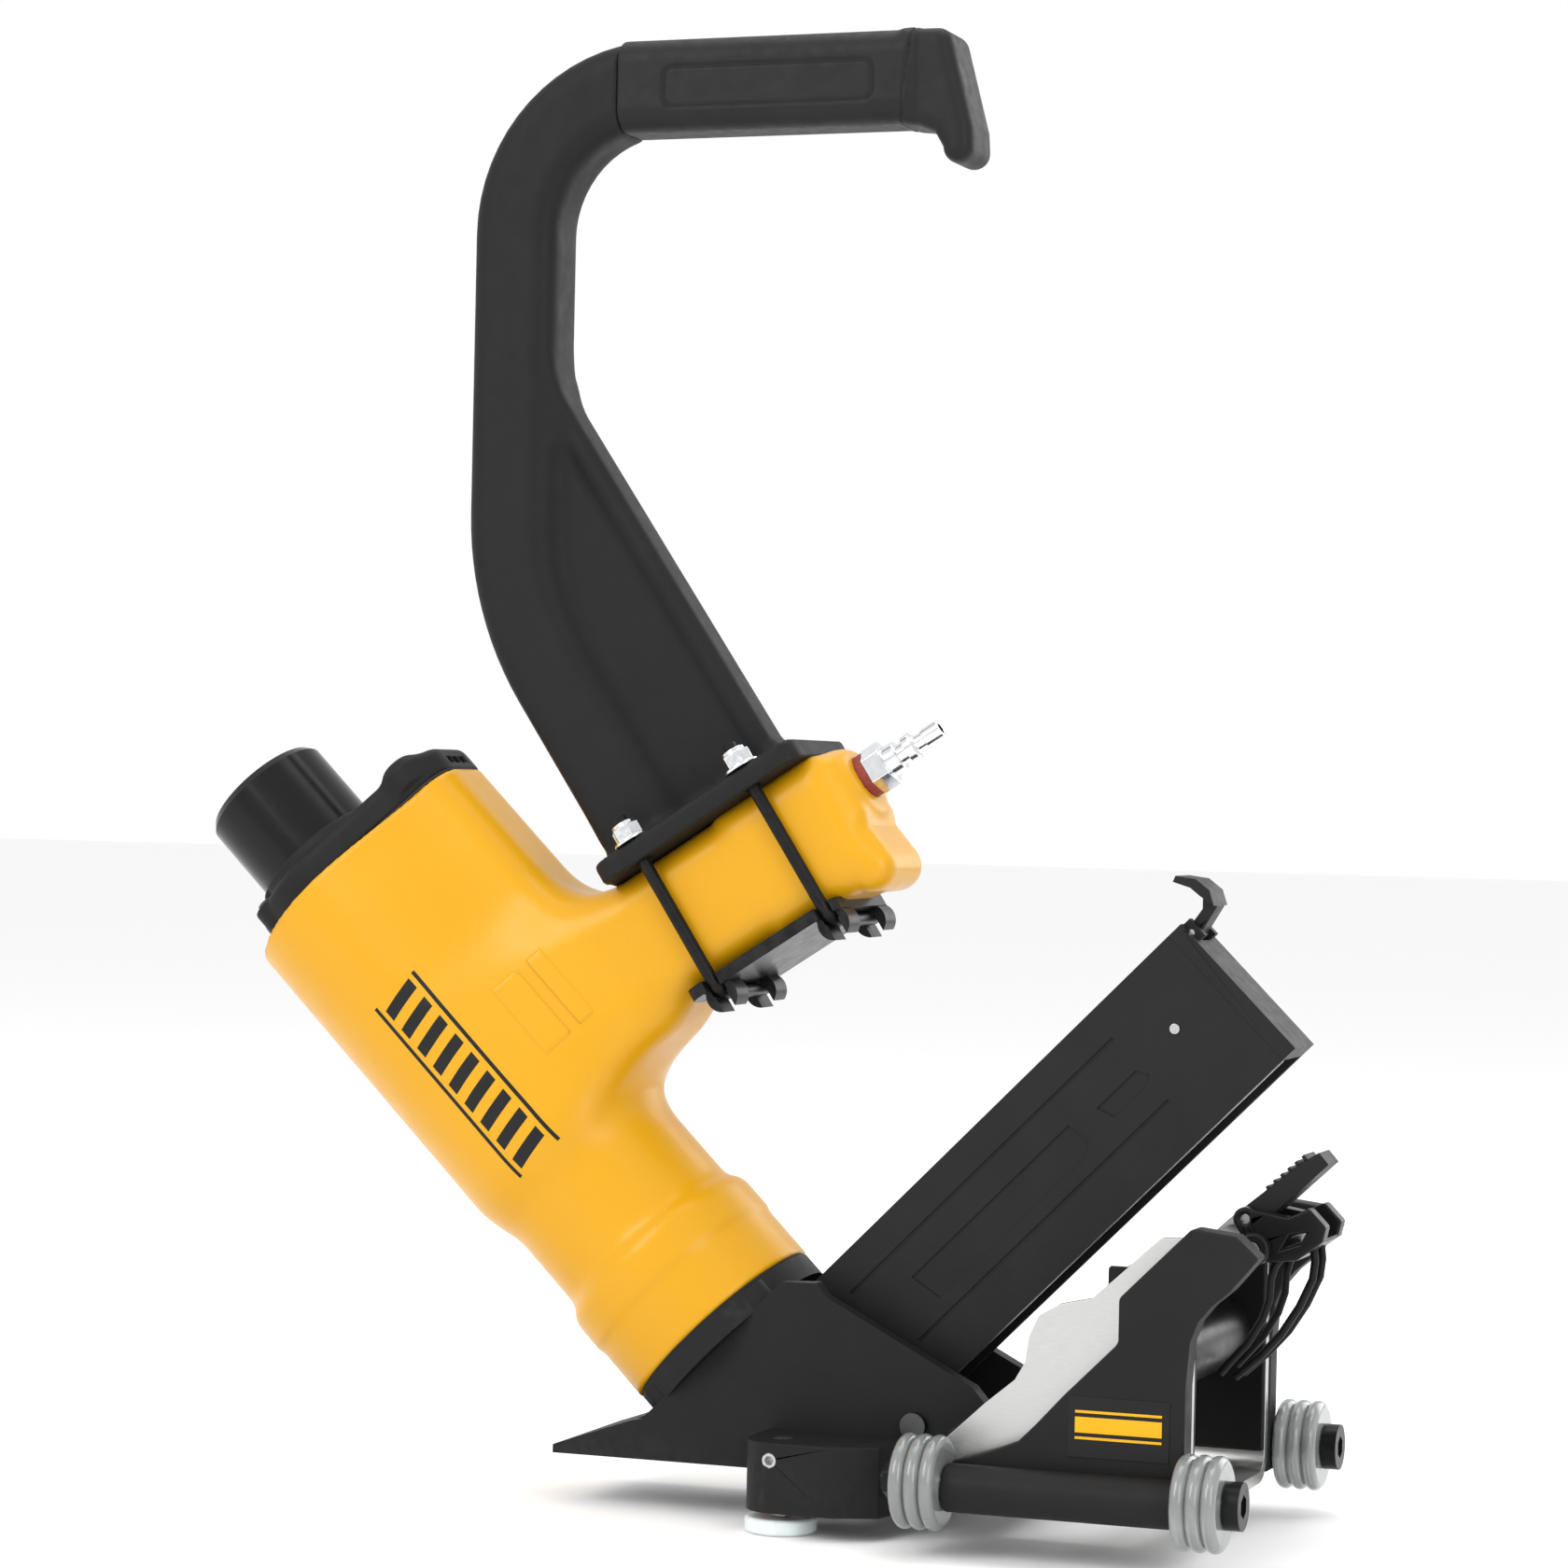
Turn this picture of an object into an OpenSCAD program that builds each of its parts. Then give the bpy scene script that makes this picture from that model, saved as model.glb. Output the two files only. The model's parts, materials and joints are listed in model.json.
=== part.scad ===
// Pneumatic flooring nailer on a rolling foot.
// Row frame: +X from the strike cap towards the magazine, +Y across, +Z up.
// Three working frames are used below:
//   deck() z = 0 is the top of the floor board, the plane under the four wheels
//   tool() local +Z runs up the drive axis from the point where it crosses the deck,
//          local +X runs along the magazine
//   arm()  local +X runs along the air inlet arm, local z = 0 is the arm's top face

/* [Stance] */
// Drop of the guide rollers below the top of the board
deck_h = 10; // [8:0.5:12]
// Angle between the drive axis and the deck
drive_angle = 45; // [44:0.5:46]
// Where the drive axis crosses the deck
drive_x = 52; // [50:0.5:54]

/* [Housing] */
// Outer radius of the lower barrel
barrel_r = 42; // [41.8:0.1:42.4]
// Outer radius of the collar at the foot of the barrel
collar_r = 44.5; // [44:0.5:46]
// Half width of the oval air chamber
chamber_r = 39.5; // [39.5:0.5:41]
// Reach of the air chamber towards the arm
chamber_reach = 74; // [73:0.5:76]
// Wall of the air chamber
chamber_wall = 4.4; // [4:0.2:4.4]
// Height of the housing's top face on the drive axis
housing_top = 333; // [330:1:336]

/* [Drive] */
// Bore radius of the air cylinder
bore_r = 29; // [28.5:0.5:29]
// Travel of the piston
stroke = 95; // [90:1:96]
// Thickness of the driver blade
blade_t = 3.2; // [2.6:0.2:3.4]
// Width of the driver blade
blade_w = 7; // [6:0.5:7.2]
// Outer radius of the strike cap
ram_r = 28; // [27:0.5:28]
// Travel of the strike cap
ram_travel = 8; // [6:1:8]

/* [Arm] */
// Droop of the arm from square to the drive axis
arm_slope = 12; // [10:1:14]
// Depth of the arm
arm_depth = 55; // [53:1:56]
// Width of the arm
arm_width = 52; // [48:1:54]
// Distance along the arm of the first U-bolt
u_bolt_1 = 117; // [115:1:119]
// Distance along the arm of the second U-bolt
u_bolt_2 = 173; // [171:1:174]
// Radius of the U-bolt rod
u_rod_r = 2.7; // [2.6:0.1:3.2]

/* [Handle] */
// Height of the grip's top face above the deck
grip_top = 588; // [580:1:600]
// Depth of the cast bar
bar_depth = 34; // [30:1:36]
// Thickness of the gusset web
web_t = 14; // [12:1:18]

/* [Magazine] */
// Outside width of the magazine cover
mag_w = 32; // [30:1:34]
// Distance from the drive axis to the open end of the magazine
mag_end = 250; // [244:1:252]
// Lower edge of the magazine, measured along the drive axis
mag_lo = 6; // [5:0.5:7]
// Upper edge of the magazine, measured along the drive axis
mag_hi = 72; // [70:1:73]
// Wall of the magazine cover
mag_wall = 2.2; // [1.8:0.2:2.6]

/* [Foot] */
// Diameter of a wheel
wheel_d = 36.6; // [35:0.2:38]
// Width of a wheel
wheel_w = 18; // [16:1:18]
// Distance from the middle plane to a wheel's middle
track_half = 81; // [80:0.5:83]
// Front wheel position
wheel_x1 = 103; // [102:1:104]
// Rear wheel position
wheel_x2 = 213; // [212:1:214]
// Thickness of the aluminium foot plate
plate_t = 4.6; // [4:0.2:5]
// Diameter of a guide roller
roller_d = 28.6; // [26:0.2:29]

/* [Hidden] */

// Facets of a full circle, and a hairline that keeps cuts clear of the faces they pass
$fn = 64;
eps = 0.5;
// Running clearance of a shaft in its bore, and of a sliding part beside its neighbour
fit = 0.05;
gap = 0.4;

// Levels along the drive axis
nose_top = 87;
gasket_t = 1;
housing_lo = nose_top + gasket_t;
collar_top = 126;
cap_lo = housing_top + gasket_t;
plateau = cap_lo + 12.5;
cap_hi = cap_lo + 19;
sleeve_top = 250;
sleeve_r = bore_r + 3.5;
bumper_top = housing_lo + 32;
piston_h = 20;
piston_lo = bumper_top + stroke + 1;
// The blade's tip rests one stroke above the deck, so a full stroke ends level with it
blade_lo = stroke;
ram_hi = 392;
ram_lo = cap_lo + 12;
well_floor = ram_lo - ram_travel - 1.5;
stem_r = 8;
screw_r = 2.5;
// Bosses for the cap screws: [along the magazine, across]
cap_bosses = [[-23, 24.5], [-23, -24.5], [58, 20], [58, -20]];
// Head valve and its guide
guide_r = 26;
valve_lo = sleeve_top + 0.4;
valve_lift = 5;

// Arm
arm_root = 266;
arm_end = 196;
port_z = -16;
port_x = 205;
thread_r = 8.5;
flange_t = 9;
flange_w = 72;
leg_y = arm_width / 2 + u_rod_r + 1.4;
saddle_t = 5;
rod_z = -arm_depth - saddle_t - u_rod_r;

// Nose
wall_out = 36;
wall_in = 28.5;
shoe_z = 10.6;
guide_back = -9;
guide_front = 6;
guide_top = 80.5;

// Magazine
side_y = mag_w / 2;
rail_y = 5.5;
rail_hi = 60;
end_t = 7;
pusher_travel = 200;

// Foot
wheel_z = wheel_d / 2;
ear_y = 62;
frame_y = 74;
tube_r = 9.3;
drum_x = 182;
drum_z = 66;
drum_r = 15;
pivot_x = 216;
pivot_z = 108;
thumb_x = 211;
thumb_z = 119;
stem_x = 36.5;
stem_y = 56;
block_y = 72;
block_lo = -0.5;
block_hi = 27;
axle_r = 4;
// Thickness of the yoke's side plates, and the inner face of the ears that they lie on
liner_y = 3;
liner_end = ear_y - plate_t;

// ---------------------------------------------------------------- frames
module deck() translate([0, 0, deck_h]) children();
module tool() translate([drive_x, 0, deck_h]) rotate([0, -drive_angle, 0]) children();
module arm() tool() translate([0, 0, arm_root]) rotate([0, arm_slope, 0]) children();
module mirror_y() {
    children();
    mirror([0, 1, 0]) children();
}

// ---------------------------------------------------------------- outlines
function arc(c, r, a0, a1, n = 8) =
    [for (i = [0 : n]) let (a = a0 + (a1 - a0) * i / n) c + r * [cos(a), sin(a)]];

function rounded(w, d, r, n = 5) = concat(
    arc([w / 2 - r, d / 2 - r], r, 0, 90, n),
    arc([r - w / 2, d / 2 - r], r, 90, 180, n),
    arc([r - w / 2, r - d / 2], r, 180, 270, n),
    arc([w / 2 - r, r - d / 2], r, 270, 360, n)
);

// Egg-shaped air chamber, drawn inwards by g: round behind, narrow towards the arm
chamber_x = 2;
end_r = 16;
end_c = [chamber_reach - end_r, 10];
chamber_turn = atan(end_c[1] / (end_c[0] - chamber_x))
    + acos((chamber_r - end_r) / norm(end_c - [chamber_x, 0]));
function chamber(g) = concat(
    arc([chamber_x, 0], chamber_r - g, chamber_turn, 360 - chamber_turn, 24),
    arc([end_c[0], -end_c[1]], end_r - g, -chamber_turn, 0, 8),
    arc(end_c, end_r - g, 0, chamber_turn, 8)
);

// A plate whose outline is drawn in the XZ plane, from y0 to y1
module side_plate(points, y0, y1)
    translate([0, y1, 0]) rotate([90, 0, 0]) linear_extrude(height = y1 - y0) polygon(points);

// A rod along Y
module cross_rod(x, z, r, y0, y1)
    translate([x, y1, z]) rotate([90, 0, 0]) cylinder(r = r, h = y1 - y0);

// A rod along X
module long_rod(x0, x1, y, z, r)
    translate([x0, y, z]) rotate([0, 90, 0]) cylinder(r = r, h = x1 - x0);

// A round post between two levels
module post(r, z0, z1) translate([0, 0, z0]) cylinder(r = r, h = z1 - z0);

// A ring standing on z = 0
module ring(r_out, r_in, h)
    difference() {
        cylinder(r = r_out, h = h);
        translate([0, 0, -eps]) cylinder(r = r_in, h = h + 2 * eps);
    }

// Six-sided prism, measured across its flats
module hex_prism(flats, h) cylinder(r = flats / 2 / cos(30), h = h, $fn = 6);

// Cap screw: z = 0 is under its head, the shank runs down
module cap_screw(shank_r, head_r, head_h, length, socket)
    difference() {
        union() {
            cylinder(r = head_r, h = head_h);
            translate([0, 0, -length]) cylinder(r = shank_r, h = length + eps);
        }
        translate([0, 0, head_h / 2]) hex_prism(socket, head_h);
    }

// Coil spring: centre-line radius, wire radius, height and turns
function coil_point(r, h, turns, t) = [r * cos(360 * turns * t), r * sin(360 * turns * t), h * t];
module coil(r, wire, h, turns, sides = 6, per_turn = 14) {
    rings = turns * per_turn;
    points = [for (i = [0 : rings]) let (t = i / rings, a = 360 * turns * t)
        for (k = [0 : sides - 1]) let (b = 360 * k / sides)
            coil_point(r, h, turns, t)
            + wire * cos(b) * [cos(a), sin(a), 0] + [0, 0, wire * sin(b)]];
    walls = [for (i = [0 : rings - 1], k = [0 : sides - 1]) let (n = (k + 1) % sides)
        [i * sides + k, (i + 1) * sides + k, (i + 1) * sides + n, i * sides + n]];
    polyhedron(points, concat(
        walls,
        [[for (k = [0 : sides - 1]) k]],
        [[for (k = [sides - 1 : -1 : 0]) rings * sides + k]]
    ), convexity = 10);
}

// Bent rod whose centre line is a route in the XZ plane
function turn(route, i) = let (
    a = route[max(i - 1, 0)],
    b = route[min(i + 1, len(route) - 1)]
) (b - a) / norm(b - a);
module bent_rod(route, r, sides = 12) {
    last = len(route) - 1;
    points = [for (i = [0 : last]) let (d = turn(route, i), c = route[i])
        for (k = [0 : sides - 1]) let (b = 360 * k / sides)
            [c[0] + r * cos(b) * d[1], r * sin(b), c[1] - r * cos(b) * d[0]]];
    walls = [for (i = [0 : last - 1], k = [0 : sides - 1]) let (n = (k + 1) % sides)
        [i * sides + k, i * sides + n, (i + 1) * sides + n, (i + 1) * sides + k]];
    polyhedron(points, concat(
        walls,
        [[for (k = [sides - 1 : -1 : 0]) k]],
        [[for (k = [0 : sides - 1]) last * sides + k]]
    ), convexity = 10);
}

// ---------------------------------------------------------------- housing
// Side outline of the arm's end, with the bead that stops the U-bolt
function arm_end_outline() = concat(
    [[150, -0.6], [150, -arm_depth + 0.6], [180, -arm_depth + 0.6]],
    arc([195, -51], 10, 215, 372, 10),
    [[203, -36], [port_x, -30], [port_x, -5], [201, -1.6], [192, -0.6]]
);

module housing_outside() {
    tool() {
        translate([0, 0, 190]) linear_extrude(height = housing_top - 190) polygon(chamber(0));
        translate([0, 0, collar_top]) cylinder(r = barrel_r, h = 74);
        translate([0, 0, housing_lo]) cylinder(r = collar_r, h = collar_top - housing_lo + 1);
        translate([0, 0, collar_top + 1])
            cylinder(r1 = collar_r, r2 = barrel_r - 1, h = 6);
    }
    arm() {
        translate([40, 0, -arm_depth / 2])
            rotate([90, 0, 90])
                linear_extrude(height = arm_end - 46) polygon(rounded(arm_width, arm_depth, 12));
        side_plate(arm_end_outline(), -23, 23);
    }
}

module main_housing() color("goldenrod") difference() {
    housing_outside();
    tool() {
        // Air chamber, barrel bore and the step that centres the sleeve
        difference() {
            translate([0, 0, 196])
                linear_extrude(height = housing_top) polygon(chamber(chamber_wall));
            // Bosses of the cap screws
            for (p = cap_bosses) translate([p[0], p[1], 310]) cylinder(r = 6, h = 60);
        }
        for (p = cap_bosses)
            translate([p[0], p[1], housing_top - 14]) cylinder(r = screw_r, h = 20);
        translate([0, 0, housing_lo + 8]) cylinder(r = sleeve_r + 3, h = 120);
        translate([0, 0, housing_lo - eps]) cylinder(r = sleeve_r, h = 12);
        for (a = [45 : 90 : 315])
            rotate([0, 0, a]) translate([39, 0, housing_lo - eps]) cylinder(r = screw_r, h = 14);
    }
    arm() {
        translate([52, 0, -27.5]) rotate([0, 90, 0]) cylinder(r = 19, h = 138);
        translate([180, 0, port_z]) rotate([0, 90, 0]) cylinder(r = thread_r, h = 30);
    }
}

module cap_gasket() color("dimgray") tool() difference() {
    translate([0, 0, housing_top]) linear_extrude(height = gasket_t) polygon(chamber(0.3));
    translate([0, 0, housing_top - 1]) linear_extrude(height = 4) polygon(chamber(chamber_wall));
    for (p = cap_bosses) translate([p[0], p[1], housing_top - 1]) cylinder(r = screw_r, h = 4);
}

module cylinder_cap() color("#26272a") tool() difference() {
    union() {
        translate([0, 0, cap_lo]) linear_extrude(height = plateau - cap_lo - 3) polygon(chamber(0));
        hull() {
            translate([0, 0, plateau - 4]) linear_extrude(height = 1) polygon(chamber(0));
            translate([0, 0, plateau - 1]) linear_extrude(height = 1) polygon(chamber(3));
        }
        post(ram_r + 3, cap_lo + 5, cap_hi);
        // Lugs that carry the cap screws: the front pair stands proud
        for (p = cap_bosses)
            translate([p[0], p[1], cap_lo]) cylinder(r = 7, h = plateau - cap_lo);
        for (p = [cap_bosses[2], cap_bosses[3]]) translate([p[0], p[1], 0])
            hull() {
                translate([0, 0, cap_lo + 3]) cylinder(r = 9.5, h = 8);
                translate([0, 0, cap_lo + 3]) cylinder(r = 6.5, h = plateau - cap_lo);
            }
    }
    // Well of the strike cap, and the stem's bore
    translate([0, 0, well_floor]) cylinder(r = ram_r + fit, h = 40);
    translate([0, 0, cap_lo - eps]) cylinder(r = stem_r + fit, h = 30);
    // Exhaust chamber with its outlet at the end
    translate([40, -11, cap_lo - eps]) cube([28, 22, 8]);
    for (y = [-9, -3, 3]) translate([60, y, cap_lo + 2.5]) cube([30, 5, 4]);
    // Screw holes and the seats of their heads
    for (p = cap_bosses) translate([p[0], p[1], 0]) {
        translate([0, 0, cap_lo - eps]) cylinder(r = screw_r, h = 30);
        translate([0, 0, cap_lo + 9]) cylinder(r = 4.5, h = 30);
    }
}

module cap_screws() color("#3b3c3e") tool()
    for (p = cap_bosses)
        translate([p[0], p[1], cap_lo + 9]) cap_screw(screw_r, 4.25, 5, 23.5, 4);

module cylinder_sleeve() color("#b9bcc0") tool()
    translate([0, 0, housing_lo]) ring(sleeve_r, bore_r, sleeve_top - housing_lo);

module bumper() color("#1d1d1d") tool() translate([0, 0, housing_lo]) difference() {
    union() {
        cylinder(r = bore_r - 0.3, h = 20);
        translate([0, 0, 19.9]) cylinder(r1 = bore_r - 3, r2 = bore_r - 9, h = bumper_top - housing_lo - 19.9);
    }
    translate([0, 0, -eps]) cylinder(r = 9, h = 60);
}

// ---------------------------------------------------------------- piston and valves
module piston() color("#c9ccd0") tool() translate([0, 0, piston_lo]) difference() {
    union() {
        cylinder(r = bore_r - fit, h = 14);
        translate([0, 0, 13]) cylinder(r = 20, h = piston_h - 13);
    }
    // Ring groove and the seat of the blade's head
    translate([0, 0, 5]) ring(bore_r + 2, bore_r - 3.1, 3.6);
    translate([0, 0, -eps]) cylinder(r = 5, h = 14);
}

module piston_ring() color("#1b1b1b") tool()
    translate([0, 0, piston_lo + 6.8])
        rotate_extrude() translate([bore_r - 1.7, 0]) circle(r = 1.4, $fn = 24);

module driver_blade() color("#9b9ea3") tool() {
    translate([0, 0, piston_lo]) cylinder(r = 5, h = 13);
    translate([-blade_t / 2, -blade_w / 2, blade_lo]) cube([blade_t, blade_w, piston_lo - blade_lo + 1]);
}

module valve_body() color("#8f9296") tool() difference() {
    union() {
        translate([0, 0, sleeve_top + 24]) cylinder(r = guide_r, h = cap_lo - sleeve_top - 24);
        translate([0, 0, 300]) cylinder(r = sleeve_r, h = 6);
    }
    translate([0, 0, sleeve_top]) cylinder(r = stem_r + fit, h = 100);
    // Air ways across the valve
    translate([-40, 0, 316]) rotate([0, 90, 0]) cylinder(r = 3.5, h = 80);
    translate([0, 40, 316]) rotate([90, 0, 0]) cylinder(r = 3.5, h = 80);
}

module head_valve() color("#d8d4c8") tool() difference() {
    union() {
        translate([0, 0, valve_lo]) cylinder(r = sleeve_r, h = 8);
        translate([0, 0, valve_lo + 7]) cylinder(r = guide_r + 3.6, h = 27);
    }
    translate([0, 0, valve_lo + 7.4]) cylinder(r = guide_r + fit, h = 40);
    translate([0, 0, valve_lo - eps]) cylinder(r = 12, h = 20);
}

module head_valve_spring() color("#a8abb0") tool()
    translate([0, 0, valve_lo + 9.2]) coil(guide_r + 5.2, 0.9, 300 - valve_lo - 10.4, 4, per_turn = 24);

module ram_cap() color("#111214") tool() difference() {
    union() {
        translate([0, 0, ram_lo]) cylinder(r = ram_r, h = ram_hi - ram_lo - 3);
        translate([0, 0, ram_hi - 3]) cylinder(r1 = ram_r, r2 = ram_r - 2.2, h = 3);
    }
    translate([0, 0, ram_lo - eps]) cylinder(r = ram_r - 5, h = 34);
}

module ram_stem() color("#b3b6ba") tool() difference() {
    translate([0, 0, 290]) cylinder(r = stem_r, h = ram_lo + 33.5 - 290);
    translate([0, 0, 308]) ring(stem_r + 2, stem_r - 1.6, 4);
}

module ram_spring() color("#a8abb0") tool()
    translate([0, 0, well_floor + 1.2]) coil(14, 1.2, ram_lo + 33.5 - well_floor - 2.6, 5);

// ---------------------------------------------------------------- handle
outer_c = [-49, grip_top - 78];
inner_c = [-49, grip_top - 78];
left_x = -127;
inner_x = -90;
bend_z = 394;
bend_turn = 33.5;
bend_r = 143;
foot_dir = [sin(bend_turn), -cos(bend_turn)];
foot_start = [left_x + bend_r * (1 - cos(bend_turn)), bend_z - bend_r * sin(bend_turn)];

// Outline of the cast bar: grip core, top corner, column, lower bend and foot.
// The inner edge of the column is drawn inwards by g.
function bar_outline(g) = let (
    inner_bend = bend_r - (inner_x - left_x) + g,
    foot_end = foot_start + 88 * foot_dir,
    width = inner_x - left_x - g
) concat(
    [[58, grip_top - 37]],
    arc(inner_c, 41 + g, 90, 180, 12),
    [for (i = [0 : 10]) let (a = bend_turn * i / 10)
        [left_x + bend_r - inner_bend * cos(a), bend_z - inner_bend * sin(a)]],
    [foot_end + width * [cos(bend_turn), sin(bend_turn)], foot_end],
    [for (i = [10 : -1 : 0]) let (a = bend_turn * i / 10)
        [left_x + bend_r - bend_r * cos(a), bend_z - bend_r * sin(a)]],
    [for (a = [180 : -7.5 : 90]) outer_c + 78 * [cos(a), sin(a)]],
    [[58, grip_top]]
);

// The bar is full depth along its outer side, shallower along the inner edge and in the grip
module handle_bar() difference() {
    union() {
        side_plate(bar_outline(7), -bar_depth / 2, bar_depth / 2);
        side_plate(bar_outline(0), 7 - bar_depth / 2, bar_depth / 2 - 7);
    }
    // The core inside the grip is slimmer
    difference() {
        translate([-62, -30, grip_top - 60]) cube([200, 60, 80]);
        translate([-70, -13, grip_top - 35]) cube([128, 26, 31]);
    }
}

// Gusset between the column and the flange
web_outline = [[-98, 460], [-90, 443], [6, 302], [22.5, 291], [-10, 262], [-60, 262], [-100, 360]];

// Keeps what lies above the arm's top face
module above_arm(z) arm() translate([-300, -100, z]) cube([800, 200, 700]);

module handle() color("#232427") difference() {
    union() {
        intersection() {
            deck() union() {
                handle_bar();
                side_plate(web_outline, -web_t / 2, web_t / 2);
                // Bead along the free edge of the gusset
                side_plate([[-90, 445], [-95.5, 440], [0.5, 298], [15, 287], [22.5, 291], [6, 302]],
                    -10, 10);
            }
            above_arm(4);
        }
        arm() translate([147, 0, 0])
            linear_extrude(height = flange_t) polygon(rounded(100, flange_w, 8));
    }
    arm() for (x = [u_bolt_1, u_bolt_2]) mirror_y()
        translate([x, leg_y, -eps]) cylinder(r = u_rod_r + 0.2, h = 20);
}

module grip_sleeve() color("#1f2022") deck() difference() {
    union() {
        translate([-62, 0, grip_top - 19]) rotate([90, 0, 90])
            linear_extrude(height = 126) polygon(rounded(36, 38, 10, 6));
        side_plate(concat(
            [[60, grip_top - 1], [66, grip_top]], arc([73.5, grip_top - 7], 7, 80, 10, 4),
            [[89.5, grip_top - 40]], arc([83.5, grip_top - 48], 6.5, 0, -180, 8),
            [[73.5, grip_top - 42], [66, grip_top - 39], [60, grip_top - 37]]), -16, 16);
    }
    handle_bar();
}

// ---------------------------------------------------------------- U-bolts and inlet
function u_route(bend) = concat(
    [[-leg_y, flange_t + 11.5]],
    arc([bend - leg_y, rod_z + bend], bend, 180, 270, 6),
    arc([leg_y - bend, rod_z + bend], bend, 270, 360, 6),
    [[leg_y, flange_t + 11.5]]
);

module u_bolts() color("#1c1d1f") arm()
    for (x = [u_bolt_1, u_bolt_2])
        translate([x, 0, 0]) rotate([0, 0, 90]) bent_rod(u_route(9), u_rod_r);

module at_legs() arm() for (x = [u_bolt_1, u_bolt_2], s = [-1, 1])
    translate([x, s * leg_y, flange_t]) children();

module u_bolt_washers() color("#c4c6c8") at_legs() ring(7.6, u_rod_r + 0.2, 1.4);

module u_bolt_nuts() color("#d4d6d8") at_legs() translate([0, 0, 1.4]) difference() {
    union() {
        hex_prism(11.1, 5.4);
        translate([0, 0, 5.2]) cylinder(r = 5, h = 1.9);
    }
    translate([0, 0, -eps]) cylinder(r = u_rod_r, h = 20);
}

module saddle_plate() color("#1e1f21") arm() difference() {
    union() {
        translate([142, 0, -arm_depth - saddle_t])
            linear_extrude(height = saddle_t) polygon(rounded(74, 66, 6));
        // Cheeks that cradle each rod
        for (x = [u_bolt_1, u_bolt_2], s = [-1, 1])
            cross_rod(x, rod_z - 1, 6.8, s > 0 ? 16 : -29, s > 0 ? 29 : -16);
    }
    // Grooves for the rods and their bends
    for (x = [u_bolt_1, u_bolt_2]) {
        translate([x - u_rod_r - 0.1, -50, rod_z - 20]) cube([2 * u_rod_r + 0.2, 100, 20]);
        cross_rod(x, rod_z, u_rod_r + 0.1, -50, 50);
        for (s = [-1, 1]) translate([x - 3.4, s > 0 ? 17 : -50, rod_z]) cube([6.8, 33, 40]);
    }
    translate([0, -60, -arm_depth]) cube([300, 120, 60]);
}

module thread_seal() color("#7c2a22") arm() translate([port_x, 0, port_z])
    rotate([0, 90, 0]) ring(thread_r + 0.9, thread_r, 5.6);

module air_plug() color("#d9dbdd") arm() translate([port_x, 0, port_z]) rotate([0, 90, 0])
    difference() {
        union() {
            translate([0, 0, -12]) cylinder(r = thread_r, h = 18);
            translate([0, 0, 5.6]) hex_prism(17.5, 8);
            translate([0, 0, 13]) cylinder(r = 6.4, h = 6);
            translate([0, 0, 18]) cylinder(r = 4.2, h = 6);
            translate([0, 0, 23]) cylinder(r = 5.9, h = 3.4);
            translate([0, 0, 26]) cylinder(r1 = 5.9, r2 = 4, h = 1.6);
            translate([0, 0, 27]) cylinder(r = 3.3, h = 5);
            translate([0, 0, 31.5]) cylinder(r = 3.95, h = 8);
        }
        translate([0, 0, -20]) cylinder(r = 2.2, h = 70);
    }

// ---------------------------------------------------------------- nose
// A point of the tool frame seen in the deck frame, in the XZ plane
function on_deck(p, h) = [drive_x + p * cos(drive_angle) - h * sin(drive_angle),
                          p * sin(drive_angle) + h * cos(drive_angle)];

module nose_gasket() color("dimgray") tool() translate([0, 0, nose_top]) difference() {
    cylinder(r = collar_r - 1, h = gasket_t);
    translate([0, 0, -eps]) cylinder(r = 10, h = 3);
    for (a = [45 : 90 : 315]) rotate([0, 0, a]) translate([39, 0, -eps]) cylinder(r = screw_r, h = 3);
}

wall_profile = [
    [-70, shoe_z], [-70, 14], [-36, 26], on_deck(-40, 78), on_deck(43, 78), [42, 86], [46, 81],
    [108, 49], [114, 42], [98, 31], [90, shoe_z],
];
wedge_profile = [
    [-70, shoe_z], [-70, 14], [-36, 26], on_deck(-40, 79), on_deck(guide_back + 2, 79),
    on_deck(guide_back + 2, shoe_z / sin(drive_angle) - guide_back - 2),
];

module nose_casting() color("#232427") difference() {
    union() {
        tool() translate([0, 0, nose_top - 10]) cylinder(r = collar_r - 0.5, h = 10);
        tool() for (a = [45 : 90 : 315]) rotate([0, 0, a])
            translate([39, 0, nose_top - 14]) cylinder(r = 7, h = 13);
        deck() mirror_y() side_plate(wall_profile, wall_in, wall_out);
        deck() side_plate(wedge_profile, -wall_in - 1, wall_in + 1);
        deck() translate([66, -wall_in - 1, shoe_z]) cube([26, 2 * wall_in + 2, 4]);
        // Cheeks that hold the driver guide
        tool() mirror_y() translate([guide_back - 4, 8, 22]) cube([18, 22, 57.5]);
    }
    deck() translate([-200, -100, shoe_z - 50]) cube([500, 200, 50]);
    // Seat of the driver guide and the blade's way in
    tool() translate([guide_back, -10, -20]) cube([guide_front - guide_back, 20, 20 + guide_top]);
    tool() translate([0, 0, 70]) cylinder(r = 5, h = 30);
    // Screw holes with room for their heads
    tool() for (a = [45 : 90 : 315]) rotate([0, 0, a]) translate([39, 0, 0]) {
        translate([0, 0, 60]) cylinder(r = screw_r, h = 40);
        translate([0, 0, 50]) cylinder(r = 4.6, h = nose_top - 7 - 50);
    }
    // Holes for the rail bolt and the foot screws
    tool() cross_rod(46, 0, 3.05, -60, 60);
    deck() for (x = [72, 86], y = [-18, 18]) translate([x, y, 0]) cylinder(r = 2.5, h = 30);
    // Weight-saving pocket in the toe
    deck() translate([-44, -20, 0]) cube([46, 40, 19]);
}

module nose_screws() color("#3b3c3e") tool()
    for (a = [45 : 90 : 315]) rotate([0, 0, a]) translate([39, 0, nose_top - 7])
        rotate([180, 0, 0]) cap_screw(screw_r, 4.25, 5, 20, 4);

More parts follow.
